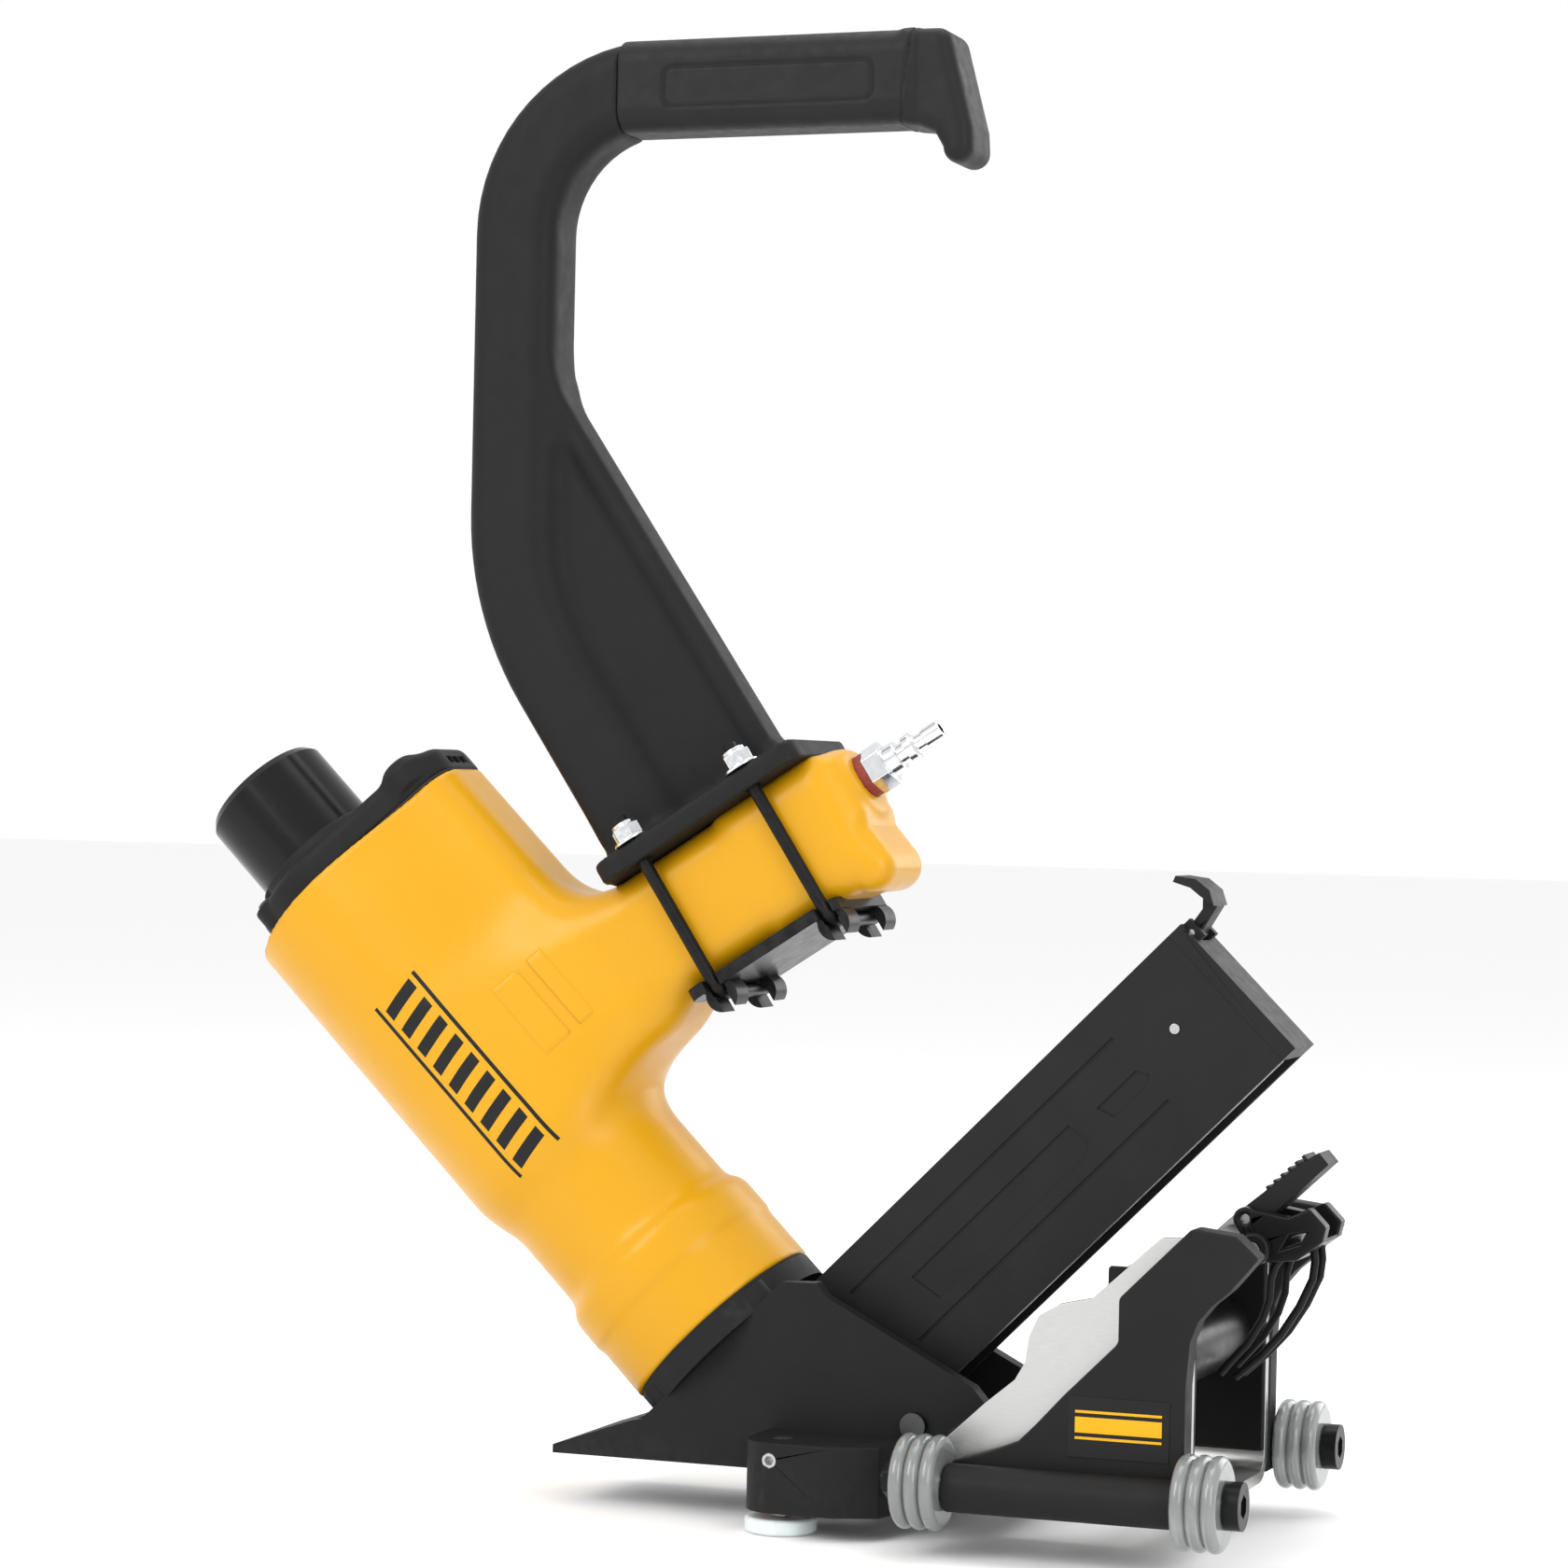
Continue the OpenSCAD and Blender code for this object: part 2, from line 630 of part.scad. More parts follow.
module driver_guide() color("#8a8d91") tool() difference() {
    side_plate([
        [guide_back, guide_top], [guide_front, guide_top], [guide_front, -3.6], [guide_back, 11.4],
    ], -10, 10);
    translate([-blade_t / 2 - 0.3, -blade_w / 2 - 0.3, -30])
        cube([blade_t + 0.6, blade_w + 0.6, 130]);
    translate([0, -blade_w / 2 - 0.3, 10]) cube([20, blade_w + 0.6, 54]);
}

// ---------------------------------------------------------------- magazine
module magazine_rail() color("#c3c6c9") tool() difference() {
    union() {
        translate([guide_front, -rail_y, 8]) cube([mag_end - 4 - guide_front, 2 * rail_y, rail_hi - 8]);
        translate([36, -8, -7]) cube([22, 16, 15.5]);
    }
    translate([0, -3.8, 10.5]) cube([300, 7.6, 60]);
    // Sight slots along the bottom
    for (i = [0 : 5]) translate([70 + 29 * i, -1.6, 0]) cube([20, 3.2, 20]);
    cross_rod(46, 0, 3.05, -60, 60);
}

module magazine_cover() color("#242528") tool() difference() {
    union() {
        difference() {
            translate([8, -side_y, mag_lo]) cube([mag_end - 8, mag_w, mag_hi - mag_lo]);
            translate([0, -side_y + mag_wall, mag_lo - 1])
                cube([300, mag_w - 2 * mag_wall, mag_hi - mag_lo - mag_wall + 1]);
        }
        // Ribs that run beside the rail
        for (z = [13, 50]) mirror_y()
            translate([8, rail_y + gap, z]) cube([mag_end - 8, side_y - rail_y - gap - 1, 3]);
    }
    mirror_y() translate([0, side_y - 0.8, 0]) {
        // Two long grooves, the slanted recess and the short one
        translate([55, 0, 57.4]) cube([151, 5, 1.6]);
        translate([64, 0, 24.6]) cube([142, 5, 1.6]);
        side_plate([[79, 46], [82, 32], [166, 32], [171, 36], [169, 46]], 0, 5);
        side_plate([[182, 43], [185, 35.5], [203, 35.5], [207, 38], [204, 43]], 0, 5);
        cross_rod(227, 44, 2, 0, 5);
    }
}

module magazine_end_cap() color("#1e1f21") tool() difference() {
    union() {
        translate([mag_end, -side_y, mag_lo]) cube([end_t, mag_w, mag_hi - mag_lo]);
        // Ears of the latch pin
        for (s = [-1, 1]) translate([mag_end, s * 8.5 - 2, mag_hi - 9]) cube([end_t + 3, 4, 9]);
    }
    translate([mag_end - 1, -3.8, 10.5]) cube([3, 7.6, 50]);
    // Window for the latch
    translate([mag_end + 3, -6.5, mag_hi - 9]) cube([20, 13, 20]);
    cross_rod(mag_end + 6.4, mag_hi - 4.5, 1.5, -20, 20);
}

module magazine_rivets() color("#5c5e61") tool() mirror_y()
    translate([227, side_y, 44]) rotate([90, 0, 0]) translate([0, 0, -0.7]) cylinder(r = 2, h = 1.5);

// Latch blade: hub, neck and the curved finger tab
latch_x = mag_end + 6.4;
latch_z = mag_hi - 4.5;
module magazine_latch() color("#1d1e20") tool() difference() {
    union() {
        side_plate(concat(
            arc([latch_x, latch_z], 3, 200, 320, 6),
            [[latch_x + 8, latch_z - 0.5], [latch_x + 14, latch_z + 1],
             [latch_x + 17, latch_z + 7], [latch_x + 16, latch_z + 14],
             [latch_x + 11, latch_z + 20.5], [latch_x + 8.5, latch_z + 19.5],
             [latch_x + 12, latch_z + 13], [latch_x + 12.6, latch_z + 8],
             [latch_x + 9, latch_z + 4.4], [latch_x + 3, latch_z + 3.4],
             [latch_x - 2.5, latch_z + 2.6]]), -6.1, 6.1);
        side_plate([
            [latch_x + 14, latch_z + 1], [latch_x + 17, latch_z + 7], [latch_x + 16, latch_z + 14],
            [latch_x + 11, latch_z + 20.5], [latch_x + 8.5, latch_z + 19.5],
            [latch_x + 12, latch_z + 13], [latch_x + 12.6, latch_z + 8]], -11, 11);
    }
    cross_rod(latch_x, latch_z, 1.5 + fit, -20, 20);
}

module latch_pin() color("#a7aaad") tool() cross_rod(latch_x, latch_z, 1.5, -10.5, 10.5);

module pusher() color("#b8a25a") tool() {
    translate([9, -3.5, 11]) cube([20, 7, 50]);
    translate([9, -5.4, rail_hi + 0.4]) cube([20, 10.8, 1.4]);
}

module pusher_spring() color("#aeb1b4") tool() cross_rod(19, rail_hi + 5.6, 3.6, -4, 4);

module rail_bolt() color("#3b3c3e") tool() {
    cross_rod(46, 0, 3, -wall_out, wall_out + 1);
    cross_rod(46, 0, 5.2, -wall_out - 3.4, -wall_out);
    cross_rod(46, 0, 5.2, wall_out, wall_out + 3.4);
}

// ---------------------------------------------------------------- foot
ear_profile = [
    [92, shoe_z - plate_t], [92, shoe_z], [99, 20], [104, 31], [121, 47], [133, 57], [137, 64],
    [138.5, 74], [142, 82], [150, 87], [163, 90], [172, 98], [186, 111], [190, 114.5], [203, 115],
    [203, shoe_z - plate_t],
];
// Cross-section of the folded foot plate, across the tool
function fold(y, r) = concat(
    [[-y, 130], [-y, shoe_z - plate_t + r]],
    arc([r - y, shoe_z - plate_t + r], r, 180, 270, 6),
    arc([y - r, shoe_z - plate_t + r], r, 270, 360, 6),
    [[y, 130]]
);

module foot_plate() color("#c6c8ca") deck() difference() {
    union() {
        intersection() {
            rotate([90, 0, 90]) linear_extrude(height = 230) difference() {
                polygon(fold(ear_y, 12));
                translate([0, plate_t]) polygon(fold(ear_y - plate_t, 7.4));
            }
            side_plate(ear_profile, -70, 70);
        }
        translate([64, -wall_out + 2, shoe_z - plate_t]) cube([32, 2 * wall_out - 4, plate_t]);
    }
    for (x = [72, 86], y = [-18, 18]) translate([x, y, 0]) {
        cylinder(r = 2.5, h = 30);
        cylinder(r = 4.5, h = shoe_z - plate_t + 2.4);
    }
    // Window in the rear half
    translate([120, -30, 0]) cube([50, 60, 20]);
}

module foot_screws() color("#55575a") deck()
    for (x = [72, 86], y = [-18, 18]) translate([x, y, 0]) {
        translate([0, 0, shoe_z - plate_t]) cylinder(r = 4.4, h = 2.4);
        translate([0, 0, shoe_z - plate_t + 1]) cylinder(r = 2.5, h = 10);
    }

frame_profile = [
    [112.4, 9], [112.4, 26], [128, 31], [138, 35], [145, 42], [156, 54], [177, 75], [177, 92],
    [205, 120], [222, 118], [231, 110], [220, 97], [213, 91], [208, 85], [205, 77], [203.6, 60],
    [203.6, 9],
];

module side_frame_shape() deck() difference() {
    union() {
        side_plate(frame_profile, -frame_y, -ear_y);
        long_rod(wheel_x1 + wheel_w / 2 + gap, wheel_x2 - wheel_w / 2 - gap,
            -track_half, wheel_z - 1.4, tube_r);
    }
    // Hollow behind the plate's face, and the axle's bore
    side_plate([[150, 40], [176, 66], [196, 66], [196, 28], [140, 28]], -frame_y + 4, -ear_y + 1);
    long_rod(0, 300, -track_half, wheel_z, axle_r);
}

module side_frame_near() color("#242528") side_frame_shape();
module side_frame_far() color("#242528") mirror([0, 1, 0]) side_frame_shape();

module cross_tube() color("#1a1b1c") deck() difference() {
    cross_rod(drum_x, drum_z, drum_r, liner_y - liner_end, liner_end - liner_y);
    cross_rod(drum_x, drum_z, 6, -100, 100);
    // Tapped hole of the adjusting knob
    translate([drum_x, 0, drum_z]) rotate([0, -45, 0]) cylinder(r = 3.05, h = 30);
}

module clamp_yoke() color("#202124") deck() difference() {
    union() {
        translate([186, -liner_end, 98]) cube([13, 2 * liner_end, 11]);
        mirror_y() translate([168, liner_end - liner_y, 18.2]) cube([35, liner_y, 84]);
        for (s = [-1, 1]) side_plate(concat(
            [[192, 98], [199, 98], [212, 102]], arc([pivot_x, pivot_z], 6.5, -60, 120, 8),
            [[199, 109], [192, 109]]), s * 21 - 3, s * 21 + 3);
    }
    cross_rod(pivot_x, pivot_z, 3, -60, 60);
}

module clamp_pin() color("#8d9093") deck() cross_rod(pivot_x, pivot_z, 3, -25, 25);

module clamp_lever() color("#202124") deck() difference() {
    side_plate(concat(
        arc([pivot_x, pivot_z], 6, 150, 270, 8),
        [[232, 104], [242, 111.5], [243.4, 117.5], [236.5, 124.5], [228, 120.5], [219, 122]],
        arc([thumb_x, thumb_z], 4.6, 50, 200, 8)), -17.5, 17.5);
    cross_rod(pivot_x, pivot_z, 3 + fit, -60, 60);
    cross_rod(thumb_x, thumb_z, 2, -60, 60);
    // Window, and the slot of the thumb lever
    side_plate([[226, 108], [233, 110.5], [236, 115], [229, 113.5]], -30, 30);
    translate([200, -9.5, 112.5]) cube([50, 19, 40]);
}

// Bail wires that hang from the lever and hook round the cross tube
bail_route = [[226, 106], [222.5, 101], [221, 96], [220.6, 88], [218, 80], [212, 70], [201.6, 58]];
bail_route_2 = [[236, 110], [236.8, 103], [236, 96], [231, 85], [224, 74], [216, 65], [206, 56]];
module clamp_bails() color("#17181a") deck() {
    for (y = [-13, 13]) translate([0, y, 0]) bent_rod(bail_route, 1.6);
    for (y = [-6.5, 6.5]) translate([0, y, 0]) bent_rod(bail_route_2, 1.6);
}

module thumb_lever() color("#1c1d1f") deck() difference() {
    union() {
        side_plate(concat(
            arc([thumb_x, thumb_z], 4.4, 135, 315, 8),
            [[222.5, 122.5], [242, 141], [238, 145.5], [231, 141]]), -9, 9);
        // Ribs of the thumb pad
        for (i = [0 : 5]) translate([219 + 2.8 * i, -8.6, 128.6 + 2.5 * i])
            rotate([0, -42, 0]) cube([1.5, 17.2, 3.2]);
    }
    cross_rod(thumb_x, thumb_z, 2 + fit, -30, 30);
}

module thumb_pin() color("#8d9093") deck() cross_rod(thumb_x, thumb_z, 2, -15, 15);

module adjust_knob() color("#1a1b1c") deck()
    translate([drum_x, 0, drum_z]) rotate([0, -45, 0]) difference() {
        union() {
            translate([0, 0, 33]) cylinder(r = 7.4, h = 3.4);
            translate([0, 0, 9]) cylinder(r = 3, h = 26);
        }
        for (i = [0 : 17]) rotate([0, 0, 20 * i]) translate([7.6, 0, 30]) cylinder(r = 0.6, h = 9, $fn = 6);
    }

// ---------------------------------------------------------------- wheels
module axle_bolts() color("#1b1c1e") deck() mirror_y() {
    long_rod(wheel_x1 - wheel_w / 2 - 7, wheel_x2 + wheel_w / 2 + 1, -track_half, wheel_z, axle_r);
    translate([wheel_x2 + wheel_w / 2 + gap, -track_half, wheel_z]) rotate([0, 90, 0]) difference() {
        cylinder(r = 9.2, h = 6.4);
        translate([0, 0, 3]) hex_prism(8, 6);
    }
}

module axle_nuts() color("#1b1c1e") deck() mirror_y()
    translate([wheel_x1 - wheel_w / 2 - gap, -track_half, wheel_z]) rotate([0, -90, 0])
        difference() {
            hex_prism(13, 5);
            translate([0, 0, -eps]) cylinder(r = axle_r, h = 20);
        }

module wheel(x, y) color("#b9bdbe") deck() translate([x - wheel_w / 2, y, wheel_z]) rotate([0, 90, 0])
    rotate_extrude($fn = 96) polygon(concat(
        [[axle_r + fit, 0], [wheel_z - 3, 0]],
        [for (i = [0 : 2]) each arc([wheel_z - 3, wheel_w / 6 * (2 * i + 1)], 3, -86, 86, 8)],
        [[wheel_z - 3, wheel_w], [axle_r + fit, wheel_w]]
    ));

module wheel_near_front() wheel(wheel_x1, -track_half);
module wheel_near_rear() wheel(wheel_x2, -track_half);
module wheel_far_front() wheel(wheel_x1, track_half);
module wheel_far_rear() wheel(wheel_x2, track_half);

// ---------------------------------------------------------------- edge guides
block_outline = concat(
    [[88, -wall_out], [84, -47], [79.5, -64], [62.5, -block_y]],
    arc([stem_x + 1, 14 - block_y], 14, 270, 180, 8),
    [[stem_x - 13, -wall_out]]
);
module toe_blocks() color("#26272a") deck() mirror_y() difference() {
    translate([0, 0, block_lo]) linear_extrude(height = block_hi - block_lo) polygon(block_outline);
    translate([stem_x, -stem_y, block_lo - 1]) cylinder(r = 4 + fit, h = 40);
    cross_rod(stem_x, 20, 3, -block_y - 5, -stem_y);
}

module guide_stem(s) color("#b3b6ba") deck() translate([stem_x, s * stem_y, 0]) {
    translate([0, 0, -3.2]) cylinder(r = 4, h = block_hi + 2.8);
    translate([0, 0, -8.4]) cylinder(r = 3, h = 6);
    translate([0, 0, -9.6]) cylinder(r = 5, h = 1.4);
}
module guide_stem_near() guide_stem(-1);
module guide_stem_far() guide_stem(1);

module guide_roller(s) color("#e6e8e6") deck() translate([stem_x, s * stem_y, -deck_h])
    rotate_extrude() polygon([
        [3 + fit, 1.9], [5.4, 1.9], [5.4, 0], [roller_d / 2 - 1.6, 0], [roller_d / 2, 1.2],
        [roller_d / 2, 5.6], [roller_d / 2 - 1, 6.5], [3 + fit, 6.5],
    ]);
module guide_roller_near() guide_roller(-1);
module guide_roller_far() guide_roller(1);

module stem_set_screws() color("#8d9093") deck() mirror_y() difference() {
    cross_rod(stem_x, 20, 3, 1 - block_y, -stem_y - 4.3);
    translate([stem_x, 5 - block_y, 20]) rotate([90, 0, 0]) hex_prism(3.4, 9);
}

main_housing();
cap_gasket();
cylinder_cap();
cap_screws();
cylinder_sleeve();
bumper();
piston();
piston_ring();
driver_blade();
valve_body();
head_valve();
head_valve_spring();
ram_cap();
ram_stem();
ram_spring();
handle();
grip_sleeve();
u_bolts();
u_bolt_washers();
u_bolt_nuts();
saddle_plate();
thread_seal();
air_plug();
nose_gasket();
nose_casting();
nose_screws();
driver_guide();
magazine_rail();
magazine_cover();
magazine_end_cap();
magazine_rivets();
magazine_latch();
latch_pin();
pusher();
pusher_spring();
rail_bolt();
foot_plate();
foot_screws();
side_frame_near();
side_frame_far();
cross_tube();
clamp_yoke();
clamp_pin();
clamp_lever();
clamp_bails();
thumb_lever();
thumb_pin();
adjust_knob();
axle_bolts();
axle_nuts();
wheel_near_front();
wheel_near_rear();
wheel_far_front();
wheel_far_rear();
toe_blocks();
guide_stem_near();
guide_stem_far();
guide_roller_near();
guide_roller_far();
stem_set_screws();
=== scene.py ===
import json
import math

import bmesh
import bpy
import numpy as np
from mathutils import Euler, Matrix, Vector


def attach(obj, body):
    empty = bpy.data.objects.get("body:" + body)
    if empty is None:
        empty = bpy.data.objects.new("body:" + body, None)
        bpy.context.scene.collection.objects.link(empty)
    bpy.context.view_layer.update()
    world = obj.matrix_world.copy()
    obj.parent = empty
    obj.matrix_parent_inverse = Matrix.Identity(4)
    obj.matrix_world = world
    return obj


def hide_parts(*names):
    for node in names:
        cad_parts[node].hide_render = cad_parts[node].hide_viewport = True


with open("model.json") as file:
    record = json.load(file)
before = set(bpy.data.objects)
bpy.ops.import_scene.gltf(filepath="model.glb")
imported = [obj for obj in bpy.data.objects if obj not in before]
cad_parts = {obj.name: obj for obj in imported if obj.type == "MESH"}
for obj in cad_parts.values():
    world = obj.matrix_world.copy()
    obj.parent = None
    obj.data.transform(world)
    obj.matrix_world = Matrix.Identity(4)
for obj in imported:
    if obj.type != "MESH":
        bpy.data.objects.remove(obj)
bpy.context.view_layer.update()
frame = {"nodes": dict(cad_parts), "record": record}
nodes = frame["nodes"]
body_of_node = {n: b for b, names in frame["record"]["behaviour"]["bodies"].items() for n in names}
slot_of_node = {s["node"]: s["material_slot"] for s in frame["record"]["subparts"]}
MM = 0.001

# ---------------------------------------------------------------- working frames, in millimetres
# deck: upright, from the top of the foot; tool: p along the magazine, h up the drive axis;
# arm: x along the inlet arm, z square to it, up towards the handle
DECK_H = 10.0
DRIVE_X = 52.0
DRIVE_TILT = math.radians(45)
ARM_ROOT = 266.0
ARM_TURN = math.radians(12)
DECK = Matrix.Translation((0, 0, DECK_H))
TOOL = Matrix.Translation((DRIVE_X, 0, DECK_H)) @ Matrix.Rotation(-DRIVE_TILT, 4, "Y")


def turned(x, z, angle):
    """Coordinates of a point in axes turned by an angle."""
    c, s = math.cos(angle), math.sin(angle)
    return x * c + z * s, z * c - x * s


def tool_to_arm(p, h):
    return turned(p, h - ARM_ROOT, -ARM_TURN)


def deck_to_arm(x, z):
    root = ARM_ROOT * math.sin(DRIVE_TILT)
    return turned(x - DRIVE_X + root, z - root, DRIVE_TILT - ARM_TURN)


def new_object(name, mesh):
    piece = bpy.data.objects.new(name, mesh)
    bpy.context.scene.collection.objects.link(piece)
    return piece


def piece_from(name, points, faces, matrix):
    """A smooth piece from points in millimetres, in the working frame that matrix gives."""
    mesh = bpy.data.meshes.new(name)
    mesh.from_pydata((points * MM).tolist(), [], faces)
    local = matrix.copy()
    local.translation = matrix.translation * MM
    mesh.transform(local)
    mesh.polygons.foreach_set("use_smooth", [True] * len(mesh.polygons))
    mesh.update()
    return new_object(name, mesh)


# ---------------------------------------------------------------- materials
def material(name, base, rough, metallic=0.0, **inputs):
    """A Principled material, with its node tree ready for more."""
    m = bpy.data.materials.new(name)
    m.use_nodes = True
    shader = m.node_tree.nodes["Principled BSDF"]
    shader.inputs["Base Color"].default_value = (*base, 1)
    shader.inputs["Roughness"].default_value = rough
    shader.inputs["Metallic"].default_value = metallic
    for key, value in inputs.items():
        shader.inputs[key.replace("_", " ")].default_value = value
    return m


def noise(m, scale, detail=4.0, stretch=(1, 1, 1), turn=(0, 0, 0)):
    """The value of a noise over the object's own coordinates, in metres."""
    tree = m.node_tree
    coords = tree.nodes.new("ShaderNodeTexCoord")
    mapping = tree.nodes.new("ShaderNodeMapping")
    mapping.inputs["Scale"].default_value = stretch
    mapping.inputs["Rotation"].default_value = turn
    texture = tree.nodes.new("ShaderNodeTexNoise")
    texture.inputs["Scale"].default_value = scale
    texture.inputs["Detail"].default_value = detail
    tree.links.new(coords.outputs["Object"], mapping.inputs["Vector"])
    tree.links.new(mapping.outputs["Vector"], texture.inputs["Vector"])
    return texture.outputs["Fac"]


def spread(m, value, low, high, centre=0.5, reach=0.2):
    """Maps a noise to a range of numbers."""
    tree = m.node_tree
    node = tree.nodes.new("ShaderNodeMapRange")
    node.inputs["From Min"].default_value = centre - reach
    node.inputs["From Max"].default_value = centre + reach
    node.inputs["To Min"].default_value = low
    node.inputs["To Max"].default_value = high
    tree.links.new(value, node.inputs["Value"])
    return node.outputs["Result"]


def rough_by(m, value, low, high):
    tree = m.node_tree
    tree.links.new(spread(m, value, low, high), tree.nodes["Principled BSDF"].inputs["Roughness"])


def tint_by(m, value, dark, light, reach=0.2):
    """Blends the base colour between two colours."""
    tree = m.node_tree
    mix = tree.nodes.new("ShaderNodeMix")
    mix.data_type = "RGBA"
    mix.inputs["A"].default_value = (*dark, 1)
    mix.inputs["B"].default_value = (*light, 1)
    tree.links.new(spread(m, value, 0, 1, reach=reach), mix.inputs["Factor"])
    tree.links.new(mix.outputs["Result"], tree.nodes["Principled BSDF"].inputs["Base Color"])


def bump_by(m, value, distance, strength=1.0):
    tree = m.node_tree
    bump = tree.nodes.new("ShaderNodeBump")
    bump.inputs["Distance"].default_value = distance
    bump.inputs["Strength"].default_value = strength
    shader = tree.nodes["Principled BSDF"]
    if shader.inputs["Normal"].is_linked:
        tree.links.new(shader.inputs["Normal"].links[0].from_socket, bump.inputs["Normal"])
    tree.links.new(value, bump.inputs["Height"])
    tree.links.new(bump.outputs["Normal"], shader.inputs["Normal"])


def edge_wear(m, worn, amount=0.5):
    """Lightens the edges that stand out, broken up by a noise."""
    tree = m.node_tree
    shader = tree.nodes["Principled BSDF"]
    geometry = tree.nodes.new("ShaderNodeNewGeometry")
    edges = spread(m, geometry.outputs["Pointiness"], 0, amount, centre=0.56, reach=0.03)
    broken = tree.nodes.new("ShaderNodeMath")
    broken.operation = "MULTIPLY"
    tree.links.new(edges, broken.inputs[0])
    tree.links.new(spread(m, noise(m, 260), 0, 1, reach=0.12), broken.inputs[1])
    mix = tree.nodes.new("ShaderNodeMix")
    mix.data_type = "RGBA"
    mix.inputs["B"].default_value = (*worn, 1)
    source = shader.inputs["Base Color"]
    if source.is_linked:
        tree.links.new(source.links[0].from_socket, mix.inputs["A"])
    else:
        mix.inputs["A"].default_value = source.default_value
    tree.links.new(broken.outputs[0], mix.inputs["Factor"])
    tree.links.new(mix.outputs["Result"], source)


def yellow_paint():
    m = material("yellow_paint", (0.60, 0.295, 0.003), 0.38, Specular_IOR_Level=0.26,
                 Coat_Weight=0.1, Coat_Roughness=0.22)
    tint_by(m, noise(m, 18, 3), (0.588, 0.287, 0.002), (0.612, 0.303, 0.004), 0.3)
    rough_by(m, noise(m, 90), 0.31, 0.40)
    bump_by(m, noise(m, 420, 2), 0.00006)
    return m


def casting(name, shade=0.012, rough=(0.48, 0.58), grain=1100):
    """Powder-coated casting: fine grain, soft mottling and worn edges."""
    m = material(name, (shade, shade, shade * 1.05), 0.5, Specular_IOR_Level=0.14)
    tint_by(m, noise(m, 30, 5), (shade * 0.94,) * 3, (shade * 1.06, shade * 1.06, shade * 1.10))
    rough_by(m, noise(m, 140), *rough)
    bump_by(m, noise(m, grain, 3), 0.00004)
    edge_wear(m, (0.05, 0.05, 0.052), 0.2)
    return m


def moulded(name, shade, rough, grain=1500, depth=0.00005):
    """Moulded plastic or rubber with a fine spark-eroded texture."""
    m = material(name, (shade, shade, shade * 1.06), sum(rough) / 2, Specular_IOR_Level=0.18)
    tint_by(m, noise(m, 45, 4), (shade * 0.9,) * 3, (shade * 1.1, shade * 1.1, shade * 1.16))
    rough_by(m, noise(m, 200), *rough)
    bump_by(m, noise(m, grain, 3), depth)
    return m


def metal(name, base, rough, brushed=(1, 1, 1), turn=(0, 0, 0), scale=900, depth=0.00002):
    m = material(name, base, sum(rough) / 2, 1.0)
    streaks = noise(m, scale, 5, brushed, turn)
    dark = tuple(c * 0.86 for c in base)
    tint_by(m, streaks, dark, base, 0.25)
    rough_by(m, streaks, *rough)
    bump_by(m, streaks, depth)
    return m


def clear_urethane():
    m = material("clear_urethane", (0.36, 0.375, 0.375), 0.16, Transmission_Weight=0.5, IOR=1.5,
                 Coat_Weight=0.5, Coat_Roughness=0.1)
    tint_by(m, noise(m, 60, 3), (0.33, 0.345, 0.345), (0.39, 0.405, 0.405), 0.3)
    rough_by(m, noise(m, 220), 0.14, 0.26)
    bump_by(m, noise(m, 300, 2), 0.00001)
    return m


def thread_sealant():
    m = material("thread_sealant", (0.24, 0.028, 0.018), 0.62)
    tint_by(m, noise(m, 700, 6), (0.16, 0.018, 0.012), (0.30, 0.04, 0.026))
    bump_by(m, noise(m, 1300, 5), 0.0003)
    return m


def white_nylon():
    m = material("white_nylon", (0.74, 0.76, 0.745), 0.4, Subsurface_Weight=0.2)
    tint_by(m, noise(m, 160, 4), (0.68, 0.70, 0.69), (0.80, 0.81, 0.80))
    rough_by(m, noise(m, 400), 0.34, 0.5)
    bump_by(m, noise(m, 900, 3), 0.00005)
    return m


LOOKS = {
    "yellow_paint": yellow_paint(),
    "black_casting": casting("black_casting"),
    "black_steel": casting("black_steel", 0.007, (0.28, 0.36), 700),
    "dark_fastener": metal("dark_fastener", (0.09, 0.09, 0.095), (0.30, 0.45)),
    "zinc": metal("zinc", (0.74, 0.76, 0.78), (0.14, 0.30), scale=500),
    "chrome": metal("chrome", (0.80, 0.81, 0.83), (0.07, 0.15), scale=400, depth=0.00001),
    "steel": metal("steel", (0.52, 0.53, 0.54), (0.24, 0.38)),
    "aluminium": metal("aluminium", (0.56, 0.565, 0.555), (0.30, 0.44), (3, 3, 30),
                       (0, math.radians(50), 0), 70, 0.00003),
    "hard_steel": metal("hard_steel", (0.40, 0.405, 0.41), (0.28, 0.42), (1, 1, 12)),
    "brass": metal("brass", (0.62, 0.45, 0.17), (0.24, 0.38)),
    "grip_rubber": moulded("grip_rubber", 0.012, (0.46, 0.58)),
    "strike_cap": moulded("strike_cap", 0.007, (0.18, 0.22), 200, 0.000003),
    "black_plastic": moulded("black_plastic", 0.011, (0.42, 0.54)),
    "white_nylon": white_nylon(),
    "clear_urethane": clear_urethane(),
    "black_rubber": moulded("black_rubber", 0.014, (0.55, 0.7)),
    "gasket_fibre": moulded("gasket_fibre", 0.03, (0.75, 0.9), 800, 0.0002),
    "thread_sealant": thread_sealant(),
}
MARK_BLACK = moulded("mark_black", 0.012, (0.34, 0.44))
MARK_YELLOW = moulded("mark_yellow", 0.3, (0.4, 0.5))
tint_by(MARK_YELLOW, noise(MARK_YELLOW, 60), (0.70, 0.35, 0.008), (0.76, 0.39, 0.01))


def dress(piece, slot, look=None):
    piece.data.materials.clear()
    piece.data.materials.append(look or LOOKS[slot])
    return piece


